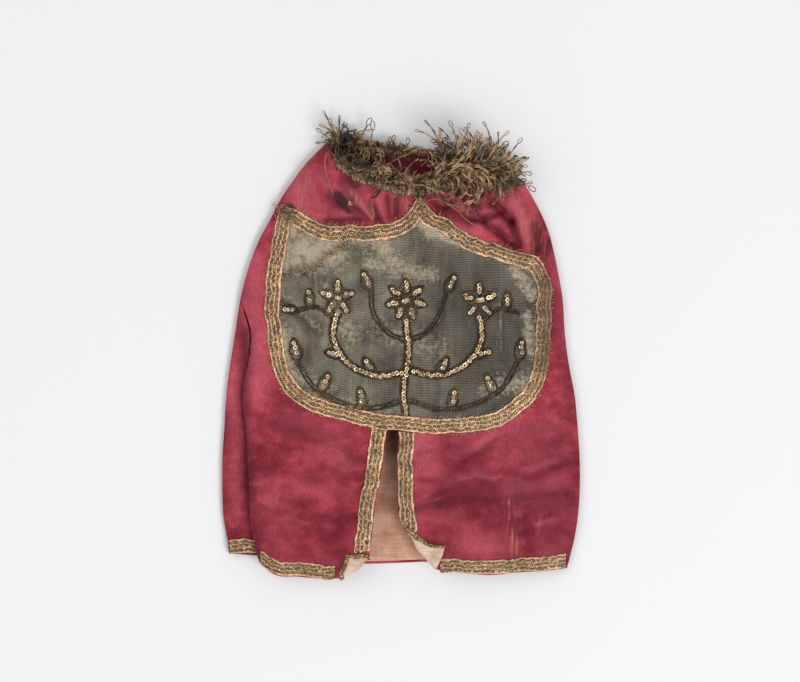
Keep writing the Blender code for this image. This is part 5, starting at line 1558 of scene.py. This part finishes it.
def ornament_lines():
    """Plan lines of the couched cords, and of the rows of sequins inside them."""
    cords, rows = [], []
    for branch in BRANCHES:
        line = vine(branch.points)
        side = np.gradient(line, axis=0)
        side /= np.linalg.norm(side, axis=1, keepdims=True)
        side = np.stack([-side[:, 1], side[:, 0]], axis=1) * branch.width / 2
        cords.extend([line + side, line - side])
        if branch.width > 3:
            rows.append(line[2:-2])
    for flower in FLOWERS:
        for i in range(flower.petals):
            angle = flower.turn + 360.0 / flower.petals * i
            root = spoke(flower.x, flower.y, angle, 2.2, 2.3)[0]
            cords.append(leaf(*root, angle, flower.length, flower.width))
            rows.append(spoke(*root, angle, 0.42 * flower.length, 0.80 * flower.length))
        rows.append(spoke(flower.x, flower.y, 0.0, -1.2, 1.2))
    for own in LEAVES:
        cords.append(leaf(*own))
        rows.append(spoke(own.x, own.y, own.angle, 0.36 * own.length, 0.78 * own.length))
    return cords, rows


def ornament(dark, gilt, sequin_finish):
    """Couched cords, purl and sequins of the ornament."""
    rng = np.random.default_rng(5)
    cords, rows = ornament_lines()
    twisted, purls = [], []
    for line in cords:
        fine = resampled(line, 0.42)
        off = [lumps(fine[:, 0], fine[:, 1], [Lump(3.0, 0.5, k)]) for k in (51.0, 57.0)]
        fine = fine + np.stack(off, axis=1)
        path = on_shield(fine, CORD_LIFT)
        twisted.append(wound(path, 0.42, 2.3))
        twisted.append(wound(path, 0.42, 2.3, math.pi))
        frayed = wound(path, 1.0, 1.9, 1.0)
        keep = lumps(fine[:, 0], fine[:, 1], [Lump(9.0, 1.0, 61.0)]) > -0.1
        for run in np.split(np.arange(len(keep)), np.flatnonzero(np.diff(keep)) + 1):
            if keep[run[0]] and len(run) > 8:
                purls.append(frayed[run])
    loose = resampled(vine(LOOSE_PURL), 0.35)
    for seed in (71.0, 83.0, 97.0, 109.0):
        off = [3.4 * lumps(loose[:, 0], loose[:, 1], [Lump(4.0, 1.0, seed + k)]) for k in (0.0, 5.0)]
        purls.append(wound(on_shield(loose + np.stack(off, axis=1), 1.6), 1.3, 3.2, seed))
    for row in rows:
        path = resampled(row, 0.16)
        coil = wound(on_shield(path, PURL_COIL + 0.5), PURL_COIL, PURL_PITCH)
        purls.append(coil)
    pieces = [
        threads_piece("couched_cord", twisted, CORD_RADIUS, dark),
        threads_piece("couched_purl", purls, PURL_RADIUS, gilt),
        sequins(rng, rows, sequin_finish),
    ]
    return pieces


def sequins(rng, rows, finish):
    """Small cupped discs with a hole, laid along their rows and tilted a little each way."""
    rims = SEQUIN_RINGS
    sides = SEQUIN_SIDES
    turn = 2 * math.pi * np.arange(sides) / sides
    places = [resampled(row, SEQUIN_STEP) for row in rows]
    centres = np.concatenate(places + [np.array(LOOSE_SEQUINS)])
    seats = on_shield(centres, SEQUIN_LIFT)
    seats[-1] = front_cloth(centres[-1], 1.0)
    points, faces = [], []
    for seat in seats:
        tilt = rng.normal(0, 0.2, 2)
        size = SEQUIN_RADIUS * rng.uniform(0.88, 1.1)
        slide = rng.normal(0, 0.35, 2)
        start = len(points)
        for share, height in rims:
            x = size * share * np.cos(turn)
            y = size * share * np.sin(turn)
            z = size * height + tilt[0] * x + tilt[1] * y
            ring = np.stack([seat[0] + slide[0] + x, seat[1] + slide[1] + y, seat[2] + z], axis=1)
            points.extend(ring)
        for k in range(len(rims) - 1):
            for j in range(sides):
                low, high = start + k * sides, start + (k + 1) * sides
                n = (j + 1) % sides
                faces.append([low + j, low + n, high + n, high + j])
    return mesh_piece("sequins", points, faces, finish, 0.12)


# Pitches of the weaves and of the braid's twist, in metres.
LAME_RIB = 0.0013
LAME_WARP = 0.0016
BRAID_TWIST = 0.0017
LINEN_PITCHES = (0.0011, 0.00125)


def node(tree, kind, inputs=None, **settings):
    """A shader node with its settings, and its inputs set or linked."""
    made = tree.nodes.new("ShaderNode" + kind)
    for name, value in settings.items():
        setattr(made, name, value)
    for key, value in (inputs or {}).items():
        if isinstance(value, bpy.types.NodeSocket):
            tree.links.new(value, made.inputs[key])
        else:
            made.inputs[key].default_value = value
    return made


def start_finish(name, values):
    """A material with its tree, its shader and the object coordinates."""
    made = bpy.data.materials.new(name)
    made.use_nodes = True
    tree = made.node_tree
    shader = tree.nodes["Principled BSDF"]
    for socket, value in values.items():
        shader.inputs[socket].default_value = value
    at = node(tree, "TexCoord").outputs["Object"]
    return made, tree, shader, at


def speckle(tree, at, scale, detail=2.0, stretch=(1.0, 1.0, 1.0), turn=0.0):
    """Noise of a scale per metre, drawn out along an axis."""
    if stretch != (1.0, 1.0, 1.0) or turn:
        at = node(tree, "Mapping", {"Vector": at, "Scale": stretch, "Rotation": (0, 0, turn)}).outputs[0]
    return node(tree, "TexNoise", {"Vector": at, "Scale": scale, "Detail": detail}).outputs[0]


def ramp(tree, factor, stops):
    """Numbers or colours between stops of (place, number or colour)."""
    made = node(tree, "ValToRGB", {"Fac": factor})
    elements = made.color_ramp.elements
    elements[0].position = stops[0][0]
    elements[1].position = stops[-1][0]
    for place, _ in stops[1:-1]:
        elements.new(place)
    for element, (_, colour) in zip(elements, stops):
        element.color = (*colour, 1) if np.ndim(colour) else (colour, colour, colour, 1)
    return made.outputs[0]


def mixed(tree, factor, a, b, blend="MIX"):
    """Two colours mixed by a factor."""
    made = node(tree, "Mix", data_type="RGBA", blend_type=blend)
    for index, value in ((0, factor), (6, a), (7, b)):
        if isinstance(value, bpy.types.NodeSocket):
            tree.links.new(value, made.inputs[index])
        else:
            made.inputs[index].default_value = value if index == 0 else (*value, 1)
    return made.outputs[2]


def sums(tree, operation, a, b=0.0):
    """One sum of two numbers."""
    return node(tree, "Math", {0: a, 1: b}, operation=operation).outputs[0]


def times(tree, a, b):
    return sums(tree, "MULTIPLY", a, b)


def plus(tree, a, b):
    return sums(tree, "ADD", a, b)


def value_of(tree, name):
    """A number that the mesh carries at each point."""
    return node(tree, "Attribute", attribute_name=name).outputs["Fac"]


def bumped(tree, shader, height, strength, distance):
    """Fine relief on a shader."""
    made = node(tree, "Bump", {"Height": height, "Strength": strength, "Distance": distance})
    tree.links.new(made.outputs[0], shader.inputs["Normal"])


def satin_finish():
    """Worn crimson satin: glossy, with fine warp lines, yellowed rubs, dirt with painted shade, painted
    highlights and dark stains.
    """
    values = {"Roughness": 0.40, "Sheen Weight": 0.06, "Sheen Roughness": 0.4, "Specular IOR Level": 0.34}
    values["Sheen Tint"] = (1.0, 0.30, 0.36, 1)
    values["Specular Tint"] = (1.0, 0.28, 0.36, 1)
    made, tree, shader, at = start_finish("crimson_satin", values)
    broad = speckle(tree, at, 34, 6)
    cloud = speckle(tree, at, 150, 4, (0.6, 1.0, 1.0))
    warp = speckle(tree, at, 1500, 3, (1.0, 0.16, 1.0))
    weft = speckle(tree, at, 1100, 3, (0.4, 1.0, 1.0))
    colour = ramp(tree, broad, [(0.34, SATIN_DEEP), (0.50, SATIN), (0.66, SATIN_LIGHT)])
    colour = mixed(tree, ramp(tree, cloud, [(0.50, 0.0), (0.78, 0.8)]), colour, SATIN_LIGHT)
    colour = mixed(tree, ramp(tree, cloud, [(0.24, 0.6), (0.50, 0.0)]), colour, SATIN_DEEP)
    # Painted highlight: lighter satin on the fold ridges and the brightest places.
    colour = mixed(tree, times(tree, value_of(tree, "painted_highlight"), 0.65), colour, SATIN_HIGHLIGHT)
    lines = plus(tree, times(tree, warp, 0.7), times(tree, weft, 0.3))
    fine = ramp(tree, lines, [(0.38, 0.80), (0.62, 1.18)])
    colour = mixed(tree, 1.0, colour, fine, "MULTIPLY")
    # Dirt, and painted shade in fold troughs, creases, under the folded left edge and inside the neck.
    colour = mixed(tree, times(tree, value_of(tree, "grime_and_shade"), 0.72), colour, SATIN_DARK)
    rubbed = ramp(tree, speckle(tree, at, 420, 3, (1.0, 0.10, 1.0), 0.12), [(0.46, 0.0), (0.62, 1.0)])
    rubbed = times(tree, rubbed, value_of(tree, "worn"))
    colour = mixed(tree, times(tree, rubbed, 0.75), colour, SATIN_WORN)
    edge = times(tree, value_of(tree, "stain"), plus(tree, speckle(tree, at, 190, 6), 0.5))
    spot = ramp(tree, edge, [(0.20, 0.0), (0.70, 0.94)])
    colour = mixed(tree, spot, colour, STAIN)
    tree.links.new(colour, shader.inputs["Base Color"])
    bumped(tree, shader, lines, 0.35, 0.0004)
    return made


def lame_finish():
    """Ribbed metal cloth, dulled grey-green, with pale worn places, and painted shade and highlights along
    its creases.
    """
    values = {"Roughness": 0.46, "Metallic": 0.25, "Specular IOR Level": 0.4}
    made, tree, shader, at = start_finish("grey_lame", values)
    parts = node(tree, "SeparateXYZ", {"Vector": at})
    x, y = parts.outputs[0], parts.outputs[1]
    left = sums(tree, "MINIMUM", sums(tree, "SUBTRACT", x, 0.04), 0.0)
    bend = times(tree, times(tree, left, left), 0.83)
    wander = times(tree, speckle(tree, at, 60, 2), 0.0022)
    bent = plus(tree, plus(tree, y, bend), wander)
    rib = sums(tree, "SINE", times(tree, bent, 2 * math.pi / LAME_RIB))
    warp = sums(tree, "SINE", times(tree, x, 2 * math.pi / LAME_WARP))
    broad = speckle(tree, at, 45, 4)
    cloud = speckle(tree, at, 360, 9)
    streak = speckle(tree, at, 240, 3, (1.0, 0.12, 1.0))
    colour = ramp(tree, broad, [(0.32, LAME_DARK), (0.50, LAME), (0.70, LAME_LIGHT)])
    colour = mixed(tree, ramp(tree, streak, [(0.50, 0.0), (0.75, 0.22)]), colour, LAME_PALE)
    # Darker where the cloth kept its dark colour, and painted shade along its creases.
    colour = mixed(tree, times(tree, value_of(tree, "dull_and_shade"), 0.85), colour, LAME_DARK)
    broken = ramp(tree, speckle(tree, at, 130, 4), [(0.36, 0.25), (0.60, 1.0)])
    broken = times(tree, rib, broken)
    ribs = node(tree, "MapRange", {0: broken, 1: -1.0, 2: 1.0, 3: 0.25, 4: 1.75}).outputs[0]
    weave = node(tree, "MapRange", {0: warp, 1: -1.0, 2: 1.0, 3: 0.80, 4: 1.20}).outputs[0]
    colour = mixed(tree, 1.0, colour, times(tree, ribs, weave), "MULTIPLY")
    # Pale worn places, and painted highlights on the ridges of the creases.
    spread = plus(tree, times(tree, value_of(tree, "pale"), 0.6), times(tree, cloud, 0.9))
    colour = mixed(tree, ramp(tree, spread, [(0.60, 0.0), (1.06, 0.9)]), colour, LAME_PALE)
    brown = ramp(tree, speckle(tree, at, 150, 6), [(0.54, 0.0), (0.70, 0.65)])
    colour = mixed(tree, brown, colour, LAME_BROWN)
    tree.links.new(colour, shader.inputs["Base Color"])
    bumped(tree, shader, plus(tree, rib, times(tree, warp, 0.4)), 0.5, 0.00025)
    return made


def braid_finish():
    """Galloon: a pale silk ground with three rows of dark twisted metal thread that glints."""
    values = {"Roughness": 0.48, "Specular IOR Level": 0.5}
    made, tree, shader, at = start_finish("gilt_braid", values)
    over, run = value_of(tree, "over"), value_of(tree, "run")
    wander = times(tree, sums(tree, "SUBTRACT", speckle(tree, at, 200, 4), 0.5), 0.36)
    flow = node(tree, "CombineXYZ", {0: times(tree, run, 330), 1: times(tree, over, 14)})
    streak = speckle(tree, flow.outputs[0], 1.0, 3)
    place = plus(tree, over, wander)
    dark, pale = 1.0, 0.0
    rows = [(0.0, pale)]
    for row in BRAID_ROWS:
        rows += [(row - 0.132, pale), (row - 0.096, dark), (row + 0.096, dark), (row + 0.132, pale)]
    rows = ramp(tree, place, [*rows, (1.0, pale)])
    turns = plus(tree, times(tree, run, 2 * math.pi / BRAID_TWIST), times(tree, over, 19.0))
    twist = node(tree, "MapRange", {0: sums(tree, "SINE", turns), 1: -1.0, 2: 1.0}).outputs[0]
    noise = plus(tree, speckle(tree, at, 620, 5), times(tree, streak, 0.7))
    glint = plus(tree, sums(tree, "SUBTRACT", noise, 0.43), times(tree, twist, 0.19))
    stops = [(0.42, BRAID_DARK), (0.54, BRAID_BROWN), (0.64, BRAID_GOLD), (0.78, BRAID_BRIGHT)]
    metal = ramp(tree, glint, stops)
    fibre = plus(tree, times(tree, speckle(tree, at, 700, 4), 0.4), times(tree, streak, 0.6))
    silk = ramp(tree, fibre, [(0.38, SILK_BROWN), (0.48, SILK), (0.60, SILK_PALE)])
    colour = mixed(tree, times(tree, rows, 0.92), silk, metal)
    tone = ramp(tree, speckle(tree, at, 110, 5), [(0.36, 0.72), (0.62, 1.25)])
    colour = mixed(tree, 1.0, colour, tone, "MULTIPLY")
    colour = mixed(tree, times(tree, value_of(tree, "tarnish"), 0.72), colour, BRAID_DULL)
    tree.links.new(colour, shader.inputs["Base Color"])
    tree.links.new(times(tree, rows, 0.25), shader.inputs["Metallic"])
    bumped(tree, shader, glint, 0.5, 0.0003)
    return made


def thread_finish(name, dark, middle, light, metallic, roughness, scale):
    """Metal or silk thread whose colour changes along it, darkened by painted shade where it lies deep and
    where it is tarnished.
    """
    made, tree, shader, at = start_finish(name, {"Roughness": roughness, "Metallic": metallic})
    colour = ramp(tree, speckle(tree, at, scale, 3), [(0.34, dark), (0.46, middle), (0.58, light)])
    colour = mixed(tree, times(tree, value_of(tree, "recess_shade"), 0.9), colour, dark)
    colour = mixed(tree, value_of(tree, "tarnish"), colour, dark)
    tree.links.new(colour, shader.inputs["Base Color"])
    bumped(tree, shader, speckle(tree, at, 2400, 2), 0.4, 0.0002)
    return made


def linen_finish(name, base, light, dark):
    """Plain woven linen."""
    values = {"Roughness": 0.85, "Specular IOR Level": 0.2, "Sheen Weight": 0.1}
    made, tree, shader, at = start_finish(name, values)
    parts = node(tree, "SeparateXYZ", {"Vector": at})
    wander = times(tree, speckle(tree, at, 90, 2), 0.0016)
    waves = []
    for i, pitch in enumerate(LINEN_PITCHES):
        along_it = plus(tree, parts.outputs[i], wander)
        waves.append(sums(tree, "SINE", times(tree, along_it, 2 * math.pi / pitch)))
    weave = plus(tree, waves[0], waves[1])
    slubs = speckle(tree, at, 500, 3, (0.12, 1.0, 1.0))
    colour = ramp(tree, speckle(tree, at, 60, 5), [(0.32, dark), (0.50, base), (0.68, light)])
    shade = node(tree, "MapRange", {0: weave, 1: -2.0, 2: 2.0, 3: 0.84, 4: 1.12}).outputs[0]
    shade = times(tree, shade, ramp(tree, slubs, [(0.35, 0.88), (0.65, 1.1)]))
    colour = mixed(tree, 1.0, colour, shade, "MULTIPLY")
    colour = mixed(tree, times(tree, value_of(tree, "shade"), 0.8), colour, LINEN_SHADE)
    tree.links.new(colour, shader.inputs["Base Color"])
    bumped(tree, shader, weave, 0.4, 0.0003)
    return made


def stage():
    """A pale floor, soft light with its key from the lower right, and the camera overhead."""
    floor = bpy.data.meshes.new("floor")
    floor.from_pydata([(-3, -3, 0), (3, -3, 0), (3, 3, 0), (-3, 3, 0)], [], [(0, 1, 2, 3)])
    ground = put("floor", floor)
    pale, _, shader, _ = start_finish("floor_pale", {"Roughness": 0.9})
    shader.inputs["Base Color"].default_value = FLOOR_COLOUR
    floor.materials.append(pale)
    world = bpy.data.worlds.new("studio")
    bpy.context.scene.world = world
    world.use_nodes = True
    world.node_tree.nodes["Background"].inputs["Color"].default_value = (1.0, 1.0, 1.0, 1)
    world.node_tree.nodes["Background"].inputs["Strength"].default_value = SKY_STRENGTH
    for name, place, size, power in LAMPS:
        lamp = bpy.data.lights.new(name, "AREA")
        lamp.size = size
        lamp.energy = power
        thing = put(name, lamp)
        thing.location = place
        thing.rotation_mode = "QUATERNION"
        thing.rotation_quaternion = (-Vector(place)).to_track_quat("-Z", "Y")
    view = bpy.data.cameras.new("camera")
    view.lens = LENS
    view.sensor_width = SENSOR
    view.clip_end = 20.0
    camera = put("camera", view)
    distance = FRAME_WIDTH * LENS / SENSOR * MM
    camera.location = (VIEW_CENTRE[0] * MM, VIEW_CENTRE[1] * MM, distance)
    bpy.context.scene.camera = camera
    bpy.context.scene.view_settings.view_transform = "Standard"


def mark_cloth(thing):
    """Gives a crimson cloth its stains, rubs and dirt, with painted shade and painted highlights from its
    marks and, on the front, from its folds.
    """
    x, y = plan_of(thing)
    add_values(thing, "stain", near_lines(x, y, STAINS))
    add_values(thing, "worn", near_lines(x, y, WORN))
    relief = folds(x, y) if thing.name == "front_cloth" else np.zeros(np.shape(x))
    # Painted shade in the troughs of the front's folds, painted highlights on their ridges.
    valley_shade = np.clip(-relief / VALLEY_DEPTH, 0, 1) * VALLEY_SHADE
    add_values(thing, "grime_and_shade", np.maximum(near_lines(x, y, GRIME_AND_SHADE), valley_shade))
    add_values(thing, "painted_highlight", np.maximum(near_lines(x, y, PAINTED_HIGHLIGHTS), np.clip(relief / VALLEY_DEPTH, 0, 1)))


def dress():
    """Builds every piece in place of the frame's plain cloth."""
    satin = satin_finish()
    lame = lame_finish()
    galloon = braid_finish()
    linen = linen_finish("linen", LINEN, LINEN_LIGHT, LINEN_DARK)
    cream = linen_finish("cream_linen", CREAM, CREAM_LIGHT, CREAM_DARK)
    cord = thread_finish("gilt_cord", CORD_DARK, CORD_BROWN, CORD_LIGHT, 0.15, 0.45, 190)
    gimp = thread_finish("gimp_cord", GIMP_DARK, GIMP_BROWN, GIMP_LIGHT, 0.3, 0.5, 320)
    gilt = thread_finish("gilt_purl", GILT_DARK, GILT, GILT_LIGHT, 0.5, 0.36, 500)
    foil = thread_finish("sequin_foil", GILT_DARK, GILT, GILT_LIGHT, 0.75, 0.28, 420)
    silk = thread_finish("loose_silk", SILK_BROWN, SILK, SILK_PALE, 0.0, 0.7, 300)

    front = front_panel(satin)
    back = back_panel(satin)
    mark_cloth(front)
    mark_cloth(back)
    front_lining = lining_front(cream)
    back_lining = lining_back(linen)
    add_values(back_lining, "shade", near_lines(*plan_of(back_lining), SHADE))
    panel = shield(lame)
    x, y = plan_of(panel)
    add_values(panel, "pale", near_lines(x, y, PALE_AND_HIGHLIGHT))
    add_values(panel, "dull_and_shade", near_lines(x, y, DULL_AND_CREASE_SHADE))
    round_shield = shield_braid(galloon)
    vents = vent_braids(galloon)
    hems = hem_braids(galloon)
    strip = side_braid(galloon)
    corners = [
        corner_braid("corner_braid_right", TURNED_RIGHT, 0.05, TURNED_RIGHT.foot, galloon),
        corner_braid("corner_braid_left", TURNED_LEFT, 0.06, 0.97, galloon),
    ]
    tape = thread_finish("heading_tape", CORD_DARK, TAPE_BROWN, TAPE_GOLD, 0.1, 0.5, 400)
    front_heading = heading("front_heading", FRONT_NECK, -52.0, 94.0, 0.2, 7.0, front_height, 1.1, tape)
    back_heading = heading("back_heading", BACK_NECK, -55.0, 20.0, 1.0, 5.0, back_height, 1.1, tape)
    front_threads = fringe("front_fringe", FRONT_LOCKS, FRONT_PILES, 11, cord)
    back_threads = fringe("back_fringe", BACK_LOCKS, BACK_PILES, 17, cord)
    couched = ornament(gimp, gilt, foil)
    rng = np.random.default_rng(3)
    ring = shield_outline(1.0)
    fray_paths = frays(rng, ring, 460, 0.9, 3.8)
    fray_paths += frays(rng, inset_ring(ring, SHIELD_BRAID_WIDTH), 320, 2.6, 3.4)
    fray = threads_piece("frayed_silk", fray_paths, FRAY_RADIUS, silk)
    pale_loose = loose_threads(PALE_THREADS, PALE_THREAD_RADIUS, "loose_pale_thread", silk)
    dark_loose = loose_threads(DARK_THREADS, DARK_THREAD_RADIUS, "loose_cord", cord)

    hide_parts("front_panel")
    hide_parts("back_panel")
    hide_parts("lining_front")
    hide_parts("lining_back")
    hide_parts("shield")
    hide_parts("braid_shield")
    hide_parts("braid_vent_left")
    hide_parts("braid_vent_right")
    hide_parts("braid_hem_left")
    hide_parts("braid_hem_right")
    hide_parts("braid_hem_side")
    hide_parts("fringe_front")
    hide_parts("fringe_back")

    slots = {
        "crimson_satin": [front, back],
        "linen": [front_lining, back_lining],
        "grey_lame": [panel],
        "gilt_braid": [round_shield, *vents, *hems, strip, *corners, fray, pale_loose],
        "gilt_cord": [front_heading, back_heading, *front_threads, *back_threads, *couched, dark_loose],
    }
    for name, things in slots.items():
        for thing in things:
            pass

    on_front = [panel, round_shield, *vents, *hems, *corners, front_heading, *front_threads, *couched, fray]
    on_front += [pale_loose, dark_loose, front_lining]


stage()
dress()
